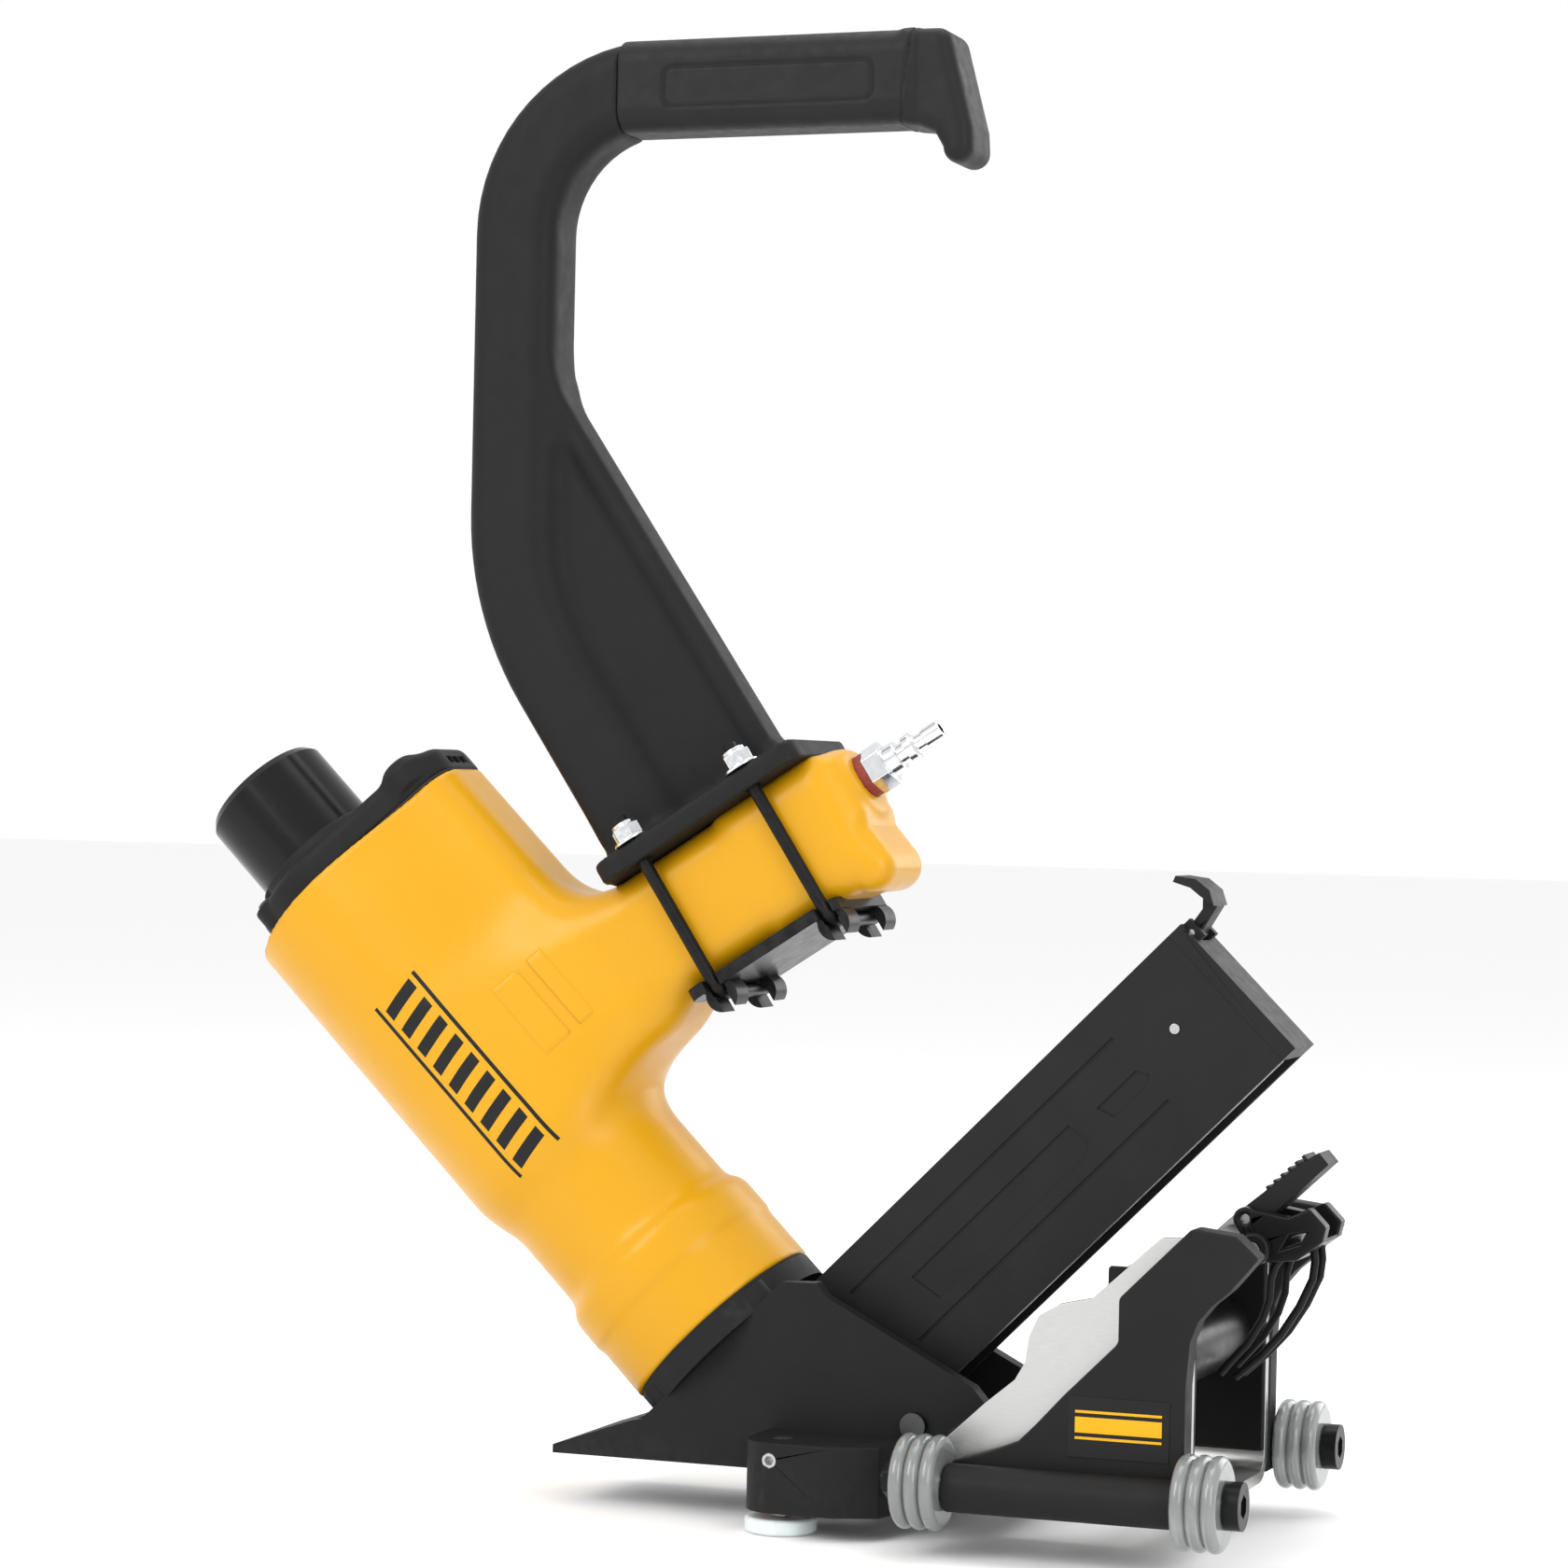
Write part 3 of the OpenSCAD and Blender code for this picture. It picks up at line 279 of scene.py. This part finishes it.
# ---------------------------------------------------------------- implicit surfaces
# Cast and moulded pieces are level sets of a distance in millimetres, so that every edge and
# every meeting of two shapes has the radius a casting has.
def s_max(a, b, k):
    """The higher of two distances, blended over k: an intersection with a rounded edge."""
    h = np.maximum(k - np.abs(a - b), 0) / k
    return np.maximum(a, b) + h * h * k / 4


def s_min(a, b, k):
    """The lower of two distances, blended over k: a union with a fillet."""
    return -s_max(-a, -b, k)


def outline(x, z, points):
    """Signed distance to a closed polygon."""
    x, z = np.broadcast_arrays(x, z)
    d = np.full(x.shape, 1e9)
    sign = np.ones(x.shape)
    for a, b in zip(points, [points[-1], *points[:-1]]):
        ex, ez = b[0] - a[0], b[1] - a[1]
        wx, wz = x - a[0], z - a[1]
        t = np.clip((wx * ex + wz * ez) / (ex * ex + ez * ez), 0, 1)
        d = np.minimum(d, (wx - ex * t) ** 2 + (wz - ez * t) ** 2)
        above, below, left = z >= a[1], z < b[1], ex * wz > ez * wx
        sign = np.where((above & below & left) | (~above & ~below & ~left), -sign, sign)
    return sign * np.sqrt(d)


def arc(c, r, a0, a1, n=8):
    """Points round a centre, from one angle to another, in degrees."""
    return [(c[0] + r * math.cos(math.radians(a0 + (a1 - a0) * i / n)),
             c[1] + r * math.sin(math.radians(a0 + (a1 - a0) * i / n))) for i in range(n + 1)]


def block(x, y, half_x, half_y, r):
    """Signed distance to a rectangle with round corners, about the origin."""
    qx, qy = np.abs(x) - half_x + r, np.abs(y) - half_y + r
    return np.hypot(np.maximum(qx, 0), np.maximum(qy, 0)) + np.minimum(np.maximum(qx, qy), 0) - r


def skin(name, field, low, high, step, matrix):
    """The surface where field(x, y, z) is 0, as a mesh of quads, by surface nets.
    low, high and step are in millimetres, in the working frame that matrix gives."""
    axes = [np.arange(a - 2 * step, b + 2.5 * step, step) for a, b in zip(low, high)]
    x, y, z = axes[0][:, None, None], axes[1][None, :, None], axes[2][None, None, :]
    f = np.broadcast_to(field(x, y, z), tuple(len(a) for a in axes)).astype(np.float32)
    inside = f < 0
    shape = tuple(n - 1 for n in f.shape)
    corners = [(i, j, k) for i in (0, 1) for j in (0, 1) for k in (0, 1)]
    count = np.zeros(shape, np.int8)
    for i, j, k in corners:
        count += inside[i:i + shape[0], j:j + shape[1], k:k + shape[2]]
    cells = np.argwhere((count > 0) & (count < 8))
    total, weight = np.zeros((len(cells), 3)), np.zeros(len(cells))
    for a in corners:
        for axis in range(3):
            if a[axis]:
                continue
            b = tuple(v + (n == axis) for n, v in enumerate(a))
            fa = f[tuple((cells + a).T)]
            fb = f[tuple((cells + b).T)]
            cross = (fa < 0) != (fb < 0)
            t = np.where(cross, fa / np.where(cross, fa - fb, 1), 0)
            point = np.array(a, float) + np.outer(t, np.array(b) - np.array(a))
            total += point * cross[:, None]
            weight += cross
    points = (cells + total / weight[:, None]) * step + [a[0] for a in axes]
    number = np.full(shape, -1, np.int32)
    number[tuple(cells.T)] = np.arange(len(cells))
    faces = []
    for axis in range(3):
        u, v = [n for n in range(3) if n != axis]
        front = tuple(slice(1, -1) if n != axis else slice(0, -1) for n in range(3))
        back = tuple(slice(1, -1) if n != axis else slice(1, None) for n in range(3))
        cut = np.argwhere(inside[front] != inside[back])
        cut[:, [u, v]] += 1
        flip = inside[tuple(cut.T)] != (axis == 1)
        ring = []
        for du, dv in ((-1, -1), (0, -1), (0, 0), (-1, 0)):
            c = cut.copy()
            c[:, u] += du
            c[:, v] += dv
            ring.append(number[tuple(c.T)])
        quad = np.array(ring).T
        quad[~flip] = quad[~flip][:, ::-1]
        faces.append(quad)
    # Three steps back onto the true surface
    probe = 0.05
    for _ in range(3):
        value = field(*points.T)
        slope = np.array([field(*(points + e).T) - field(*(points - e).T)
                          for e in np.eye(3) * probe]).T / (2 * probe)
        move = slope * (value / np.maximum((slope ** 2).sum(1), 0.05))[:, None]
        points = points - np.clip(move, -step, step)
    return piece_from(name, points, np.concatenate(faces).tolist(), matrix)


def stands_for(piece, *names, look=None):
    """Gives a piece the body, slot and place of the CAD nodes that it stands for."""
    dress(piece, slot_of_node[names[0]], look)
    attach(piece, body_of_node[names[0]])
    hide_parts(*names)
    return piece


# ---------------------------------------------------------------- housing
BACK_P, BACK_R = 2.0, 39.5
CORNER_P, CORNER_Y, CORNER_R = 56, 10, 16
CHAMBER_LOW, CHAMBER_TOP, CHAMBER_WALL = 190, 333.0, 4.4
CAP_BOSSES = [(-23, 24.5), (-23, -24.5), (58, 20), (58, -20)]
SCREW_R = 2.5
BARREL_R, BARREL_LOW = 41, 118
COLLAR_R, COLLAR_TOP, COLLAR_LOW = 44.5, 129, 88
SLEEVE_R, RELIEF_R = 32.5, 35.5
ARM_HALF_Y, ARM_HALF_Z, ARM_FRONT, ARM_TIP = 26, 27.5, 30, 196
PORT_X, PORT_Z = 192, -16
# Where the flat side meets the back and the corner: the angle of the line that touches both
SIDE = (math.atan2(CORNER_Y, CORNER_P)
        + math.acos((BACK_R - CORNER_R) / math.hypot(CORNER_P, CORNER_Y)))
ARM_END = [(150, -1), (150, -54), (180, -54.4), *arc((195, -51), 10, 215, 372, 10),
           (203, -36), (205, -30), (205, -5), (201, -1.6), (192, -1)]


def chamber(p, y, inset=0.0):
    """Distance to the egg-shaped section of the air chamber: a round back, two flat sides and
    two front corners."""
    px, py = p - BACK_P, np.abs(y)
    along = px * math.sin(SIDE) - py * math.cos(SIDE)
    side = px * math.cos(SIDE) + py * math.sin(SIDE) - BACK_R
    back = np.hypot(px, py) - BACK_R
    corner = np.hypot(px - CORNER_P, py - CORNER_Y) - CORNER_R
    limit = CORNER_P * math.sin(SIDE) - CORNER_Y * math.cos(SIDE)
    front = np.where((along > limit) & (py > CORNER_Y), corner,
                     np.maximum(side, px - CORNER_P - CORNER_R))
    return np.where(along < 0, back, front) + inset


def housing_outside(p, y, h):
    body = s_max(chamber(p, y), CHAMBER_LOW - h, 12)
    barrel = np.maximum(np.hypot(p, y) - BARREL_R, BARREL_LOW - h)
    collar = s_max(np.hypot(p, y) - COLLAR_R, h - COLLAR_TOP, 5)
    shape = s_min(s_min(body, barrel, 26), collar, 9)
    x, z = tool_to_arm(p, h)
    bar = s_max(block(y, z + ARM_HALF_Z, ARM_HALF_Y, ARM_HALF_Z, 13), x - ARM_TIP, 6)
    bar = np.maximum(bar, ARM_FRONT - x)
    end = s_max(outline(x, z, ARM_END), np.abs(y) - 23.4, 9)
    boss = s_max(np.hypot(y, z - PORT_Z) - 13.6, np.abs(x - PORT_X) - 13, 3)
    shape = s_min(shape, s_min(s_min(bar, end, 7), boss, 8), 26)
    shape = s_max(shape, h - CHAMBER_TOP, 1.2)
    return s_max(shape, COLLAR_LOW - h, 1.2)


def housing_inside(p, y, h):
    """The air chamber round its screw bosses, the sleeve's bore with its relief, and the air way
    from the port."""
    x, z = tool_to_arm(p, h)
    hollow = np.maximum(chamber(p, y, CHAMBER_WALL), CHAMBER_LOW + 6 - h)
    for bp, by in CAP_BOSSES:
        hollow = np.maximum(hollow, -np.maximum(np.hypot(p - bp, y - by) - 6, 310 - h))
    hollow = np.minimum(hollow, np.maximum(np.hypot(p, y) - RELIEF_R, COLLAR_LOW + 8 - h))
    hollow = np.minimum(hollow, np.hypot(p, y) - SLEEVE_R)
    hollow = np.minimum(hollow, np.maximum(np.hypot(y, z + ARM_HALF_Z) - 19, np.abs(x - 121) - 69))
    hollow = np.minimum(hollow, np.maximum(np.hypot(y, z - PORT_Z) - 8.5, PORT_X - 12 - x))
    for bp, by in CAP_BOSSES:
        hollow = np.minimum(hollow, np.maximum(np.hypot(p - bp, y - by) - SCREW_R, 319 - h))
    return hollow


def housing(p, y, h):
    return np.maximum(housing_outside(p, y, h), -housing_inside(p, y, h))


stands_for(skin("housing_casting", housing, (-46, -46, 87), (216, 46, 334), 1.5, TOOL),
           "main_housing")


# ---------------------------------------------------------------- marks on the housing
def surface_y(p, h):
    """Where the housing's near side lies at a point of the tool's side view."""
    near, deep = np.full(p.shape, -60.0), np.full(p.shape, -12.0)
    for _ in range(26):
        middle = (near + deep) / 2
        outside = housing(p, middle, h) > 0
        near, deep = np.where(outside, middle, near), np.where(outside, deep, middle)
    return near


SUNK = 0.2


def patch(name, corners, height, look, side, cells, rim=0.0):
    """A skin that follows the housing between four corners given as (p, h). It has a sharp edge,
    or rises from under the paint over the width of its rim."""
    u, v = np.meshgrid(np.linspace(0, 1, cells[0] + 1), np.linspace(0, 1, cells[1] + 1))
    a, b, c, d = [np.array(q, float) for q in corners]
    flat = (np.outer((1 - u) * (1 - v), a) + np.outer(u * (1 - v), b)
            + np.outer(u * v, c) + np.outer((1 - u) * v, d))
    p, h = flat.T
    edge = np.minimum(np.minimum(u, 1 - u) * np.linalg.norm(b - a),
                      np.minimum(v, 1 - v) * np.linalg.norm(d - a)).ravel()
    if rim:
        lift = (height + SUNK) * np.clip(edge / rim, 0, 1) ** 0.5 - SUNK
    else:
        lift = np.where(edge < 1e-6, 0.02, height)
    points = np.array([p, (surface_y(p, h) - lift) * side, h]).T
    n = cells[0] + 1
    faces = []
    for j in range(cells[1]):
        for i in range(cells[0]):
            k = j * n + i
            quad = (k, k + 1, k + n + 1, k + n)
            faces.append(quad if side > 0 else quad[::-1])
    piece = piece_from(name, points, faces, TOOL)
    dress(piece, "yellow_paint", look)
    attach(piece, "root")
    return piece


MARK_LOW, MARK_TOP = 182, 275
LINES, LINE_W = (-9.6, 12.8), 1.6
BARS, BAR_STEP, BAR_W = 9, 10.2, 5.4
for side, tag in ((1, "near"), (-1, "far")):
    for k, p0 in enumerate(LINES):
        p1 = p0 + LINE_W
        patch(f"stripe_{tag}_{k}", [(p0, MARK_LOW), (p1, MARK_LOW), (p1, MARK_TOP), (p0, MARK_TOP)],
              0.1, MARK_BLACK, side, (3, 50))
    for k in range(BARS):
        h0 = MARK_LOW + 2 + BAR_STEP * k
        h1 = h0 + 3
        patch(f"bar_{tag}_{k}", [(-6, h0), (10.8, h1), (10.8, h1 + BAR_W), (-6, h0 + BAR_W)],
              0.1, MARK_BLACK, side, (12, 5))
    patch(f"badge_{tag}", [(32, 211), (58, 211), (58, 247), (32, 247)],
          0.6, LOOKS["yellow_paint"], side, (40, 50), 1.2)


# ---------------------------------------------------------------- cap of the cylinder
CAP_LOW = CHAMBER_TOP + 1
CAP_PLATE = CAP_LOW + 12.5
CAP_COLLAR = CAP_LOW + 19
SCREW_SEAT = CAP_LOW + 9
RAM_CAP_R, RAM_STEM_R, CLEAR = 28, 8, 0.05
VENT_HALF = 2.5


def cap(p, y, h):
    ay = np.abs(y)
    axis = np.hypot(p, y)
    shape = s_max(chamber(p, y), h - CAP_PLATE, 5)
    shape = s_min(shape, s_max(axis - 31, h - CAP_COLLAR, 2.5), 5)
    (rear_p, rear_y), (front_p, front_y) = CAP_BOSSES[0], CAP_BOSSES[2]
    rear = s_max(np.hypot(p - rear_p, ay - rear_y) - 7, h - CAP_PLATE, 1.5)
    shape = s_min(shape, rear, 2)
    taper = 9.5 - 3 * np.clip((h - CAP_PLATE + 1.5) / 5, 0, 1)
    lug = s_max(np.hypot(p - front_p, ay - front_y) - taper, h - CAP_PLATE - 3, 2)
    lug = s_max(lug, CAP_LOW + 3 - h, 1)
    shape = s_max(s_min(shape, lug, 4), CAP_LOW - h, 0.6)
    hollow = np.minimum(np.maximum(axis - RAM_CAP_R - CLEAR, CAP_LOW + 2.5 - h),
                        axis - RAM_STEM_R - CLEAR)
    for bp, by in CAP_BOSSES:
        screw = np.hypot(p - bp, y - by)
        hollow = np.minimum(hollow, np.minimum(screw - SCREW_R,
                                               np.maximum(screw - 4.5, SCREW_SEAT - h)))
    pocket = np.maximum(np.maximum(np.abs(p - 54) - 14, ay - 11), h - CAP_LOW - 8)
    slots = np.minimum.reduce([np.abs(y - middle) - VENT_HALF for middle in (-6.5, -0.5, 5.5)])
    vents = np.maximum(np.maximum(60 - p, np.abs(h - CAP_LOW - 4.5) - 2), slots)
    return np.maximum(shape, -np.minimum(hollow, np.minimum(pocket, vents)))


stands_for(skin("cap_casting", cap, (-42, -41, 333), (76, 41, 354), 0.9, TOOL), "cylinder_cap")

# ---------------------------------------------------------------- handle
GRIP_TOP = 588.0
BAR_DEPTH = 37
LEG_Y = 30.1
U_BOLTS = (117, 173)
FLANGE_TOP = 9
GRIP_END = 58
# The bar: a quarter turn under the grip, a straight leg, a slow bend and a straight foot
TURN_C, TURN_R = (-49, GRIP_TOP - 78), 78
BEND, BEND_R = 33.5, 143
BEND_C = (TURN_C[0] - TURN_R + BEND_R, 394)
FOOT_LENGTH = 88
BEND_COS, BEND_SIN = math.cos(math.radians(BEND)), math.sin(math.radians(BEND))
FOOT_END = (BEND_C[0] - BEND_R * BEND_COS + FOOT_LENGTH * BEND_SIN,
            BEND_C[1] - BEND_R * BEND_SIN - FOOT_LENGTH * BEND_COS)
BAR = [(GRIP_END, GRIP_TOP - BAR_DEPTH),
       *arc(TURN_C, TURN_R - BAR_DEPTH, 90, 180, 14),
       *arc(BEND_C, BEND_R - BAR_DEPTH, 180, 180 + BEND, 12),
       (FOOT_END[0] + BAR_DEPTH * BEND_COS, FOOT_END[1] + BAR_DEPTH * BEND_SIN),
       FOOT_END,
       *arc(BEND_C, BEND_R, 180 + BEND, 180, 12),
       *arc(TURN_C, TURN_R, 180, 90, 16),
       (GRIP_END, GRIP_TOP)]
WEB = [(-98, 460), (-90, 443), (6, 302), (22.5, 291), (-10, 262), (-60, 262), (-100, 360)]
BEAD = [(-90, 445), (-95.5, 440), (0.5, 298), (15, 287), (22.5, 291), (6, 302)]


def grip_core(x, y, z, low_x):
    """The square bar inside the grip, from low_x to its end."""
    across = np.maximum(np.abs(y) - 13, z - GRIP_TOP + 4)
    return np.maximum(np.maximum(across, GRIP_TOP - 35 - z), np.maximum(low_x - x, x - GRIP_END))


def handle(x, y, z):
    ay = np.abs(y)
    bar = s_max(outline(x, z, BAR), ay - 17, 11)
    bar = np.maximum(bar, np.minimum(x + 62, z - GRIP_TOP + 60))
    web = s_max(outline(x, z, WEB), ay - 7, 3)
    bead = s_max(outline(x, z, BEAD), ay - 10, 5)
    shape = s_min(s_min(bar, s_min(web, bead, 6), 9), grip_core(x, y, z, -70), 0.5)
    ax, az = deck_to_arm(x, z)
    shape = np.maximum(shape, 4 - az)
    flange = s_max(s_max(block(ax - 147, y, 50, 36, 8), az - FLANGE_TOP, 2.5), -az, 1.6)
    shape = s_min(shape, flange, 8)
    shape = np.maximum(shape, -az)
    for leg in U_BOLTS:
        rod = np.hypot(ax - leg, ay - LEG_Y)
        # The hole for the rod, and a flat seat under its washer
        shape = np.maximum(shape, 2.9 - rod)
        shape = np.maximum(shape, -np.maximum(rod - 8.2, FLANGE_TOP - az))
    return shape


stands_for(skin("handle_casting", handle, (-128, -37, 240), (66, 37, 590), 1.5, DECK), "handle")

HOOK = [(60, GRIP_TOP - 1), (66, GRIP_TOP), *arc((73.5, GRIP_TOP - 7), 7, 80, 10, 6),
        (89.5, GRIP_TOP - 40), *arc((83.5, GRIP_TOP - 48), 6.5, 0, -180, 12),
        (73.5, GRIP_TOP - 42), (66, GRIP_TOP - 39), (60, GRIP_TOP - 37)]


# Far below the grip, so that the core runs right through its open end
OPEN_END = -1000


def grip(x, y, z):
    ay = np.abs(y)
    zc = z - GRIP_TOP + 19
    tube = s_max(s_max(block(y, zc, 18, 19, 10), -62 - x, 1.6), x - 64, 3)
    hook = s_max(outline(x, z, HOOK), ay - 16, 7)
    shape = s_min(tube, hook, 4)
    # Seam before the end piece, and the long framed panel on each side
    seam = np.maximum(np.abs(x - 62.5 - 0.12 * zc) - 0.45, -0.5 - shape)
    panel_line = np.abs(block(x - 3.5, z - 567.2, 45, 8.2, 4)) - 0.55
    shape = np.maximum(shape, -seam)
    shape = s_max(shape, -np.maximum(panel_line, 17.35 - ay), 0.5)
    return np.maximum(shape, -grip_core(x, y, z, OPEN_END))


stands_for(skin("grip_moulding", grip, (-63, -19, 532), (90, 19, 589), 0.8, DECK), "grip_sleeve")

# ---------------------------------------------------------------- label plates on the side frames
def slab(name, low, high, look, width):
    """A box in the deck frame with rounded edges, in millimetres."""
    mesh = bpy.data.meshes.new(name)
    bm = bmesh.new()
    bmesh.ops.create_cube(bm, size=1)
    middle = [(a + b) / 2 * MM for a, b in zip(low, high)]
    bmesh.ops.scale(bm, verts=bm.verts, vec=[(b - a) * MM for a, b in zip(low, high)])
    bmesh.ops.translate(bm, verts=bm.verts, vec=(middle[0], middle[1], middle[2] + DECK_H * MM))
    bm.to_mesh(mesh)
    bm.free()
    piece = new_object(name, mesh)
    dress(piece, "black_plastic", look)
    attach(piece, "root")
    bevel = piece.modifiers.new("edges", "BEVEL")
    bevel.width = width * MM
    bevel.segments = 2
    return piece


PLATE_Y = (73.9, 74.35)
LABEL_Y = (74.3, 74.5)
LABEL_BARS = ((38, 39), (40.5, 46.5), (48, 49))
for side, tag in ((-1, "near"), (1, "far")):
    y0, y1 = sorted(side * y for y in PLATE_Y)
    slab(f"label_plate_{tag}", (158, y0, 31), (198, y1, 54), LOOKS["black_plastic"], 0.2)
    y0, y1 = sorted(side * y for y in LABEL_Y)
    for k, (z0, z1) in enumerate(LABEL_BARS):
        slab(f"label_bar_{tag}_{k}", (161, y0, z0), (195, y1, z1), MARK_YELLOW, 0.05)

# ---------------------------------------------------------------- camera, lights, floor
camera = new_object("camera", bpy.data.cameras.new("camera"))
bpy.context.scene.camera = camera
camera.data.lens = 98.57
camera.data.sensor_width = 36
camera.location = (0.6123, -1.6434, 0.2940)
# Level and turned a little to the left of +Y, then rolled about the line of sight
LEVEL, LOOK_LEFT, ROLL = math.radians(90), math.radians(20.1), math.radians(1.2)
camera.rotation_euler = (Euler((LEVEL, 0, LOOK_LEFT)).to_matrix()
                         @ Matrix.Rotation(ROLL, 3, "Z")).to_euler()


def area_light(name, place, target, size, power):
    lamp = new_object(name, bpy.data.lights.new(name, "AREA"))
    lamp.data.shape = "RECTANGLE"
    lamp.data.size, lamp.data.size_y = size
    lamp.data.energy = power
    lamp.location = place
    lamp.rotation_mode = "QUATERNION"
    lamp.rotation_quaternion = (Vector(target) - Vector(place)).to_track_quat("-Z", "Y")


area_light("key", (-0.9, -1.7, 1.5), (0, 0, 0.25), (0.9, 1.4), 22)
area_light("fill", (1.5, -1.2, 0.8), (0, 0, 0.2), (0.7, 1.4), 10)
area_light("top", (0.1, 0.2, 2.0), (0, 0, 0.3), (1.6, 1.2), 14)
area_light("back", (0.9, 1.6, 0.9), (0, 0, 0.3), (1.0, 1.4), 10)

bpy.context.scene.view_settings.view_transform = "Standard"
world = bpy.data.worlds.new("studio")
bpy.context.scene.world = world
world.use_nodes = True
backdrop = world.node_tree.nodes["Background"]
backdrop.inputs["Color"].default_value = (1.0, 1.0, 1.0, 1)
backdrop.inputs["Strength"].default_value = 1.0

FLOOR = 14.0
floor_mesh = bpy.data.meshes.new("floor")
floor_mesh.from_pydata([(a * FLOOR, b * FLOOR, 0) for a, b in ((-1, -1), (1, -1), (1, 1), (-1, 1))],
                       [], [(0, 1, 2, 3)])
floor = new_object("floor", floor_mesh)
floor_look = material("floor_paper", (0.93, 0.93, 0.93), 0.85)
rough_by(floor_look, noise(floor_look, 6), 0.82, 0.9)
floor_mesh.materials.append(floor_look)

# ---------------------------------------------------------------- CAD nodes that show as they are
# Edge radii in millimetres: cast and moulded pieces are rounder than turned ones
EDGES = {"nose_casting": 1.4, "side_frame_near": 1.6, "side_frame_far": 1.6, "toe_blocks": 1.8,
         "magazine_cover": 0.8, "magazine_end_cap": 0.9, "saddle_plate": 1.2, "clamp_lever": 1.4,
         "clamp_yoke": 1.2, "ram_cap": 1.6, "foot_plate": 0.5, "thumb_lever": 0.5,
         "axle_bolts": 0.9}
PLAIN_EDGE = 0.4
SHARPEST_SMOOTHED = math.radians(35)
for name, node in nodes.items():
    if node.hide_render:
        continue
    dress(node, slot_of_node[name])
    weld = node.modifiers.new("weld", "WELD")
    weld.merge_threshold = 0.01 * MM
    bevel = node.modifiers.new("edges", "BEVEL")
    bevel.width = EDGES.get(name, PLAIN_EDGE) * MM
    bevel.segments = 3 if name in EDGES else 2
    bevel.limit_method = "ANGLE"
    bevel.angle_limit = SHARPEST_SMOOTHED
    for face in node.data.polygons:
        face.use_smooth = True
    if "custom_normal" in node.data.attributes:
        node.data.attributes.remove(node.data.attributes["custom_normal"])
    node.modifiers.new("normals", "WEIGHTED_NORMAL").keep_sharp = False
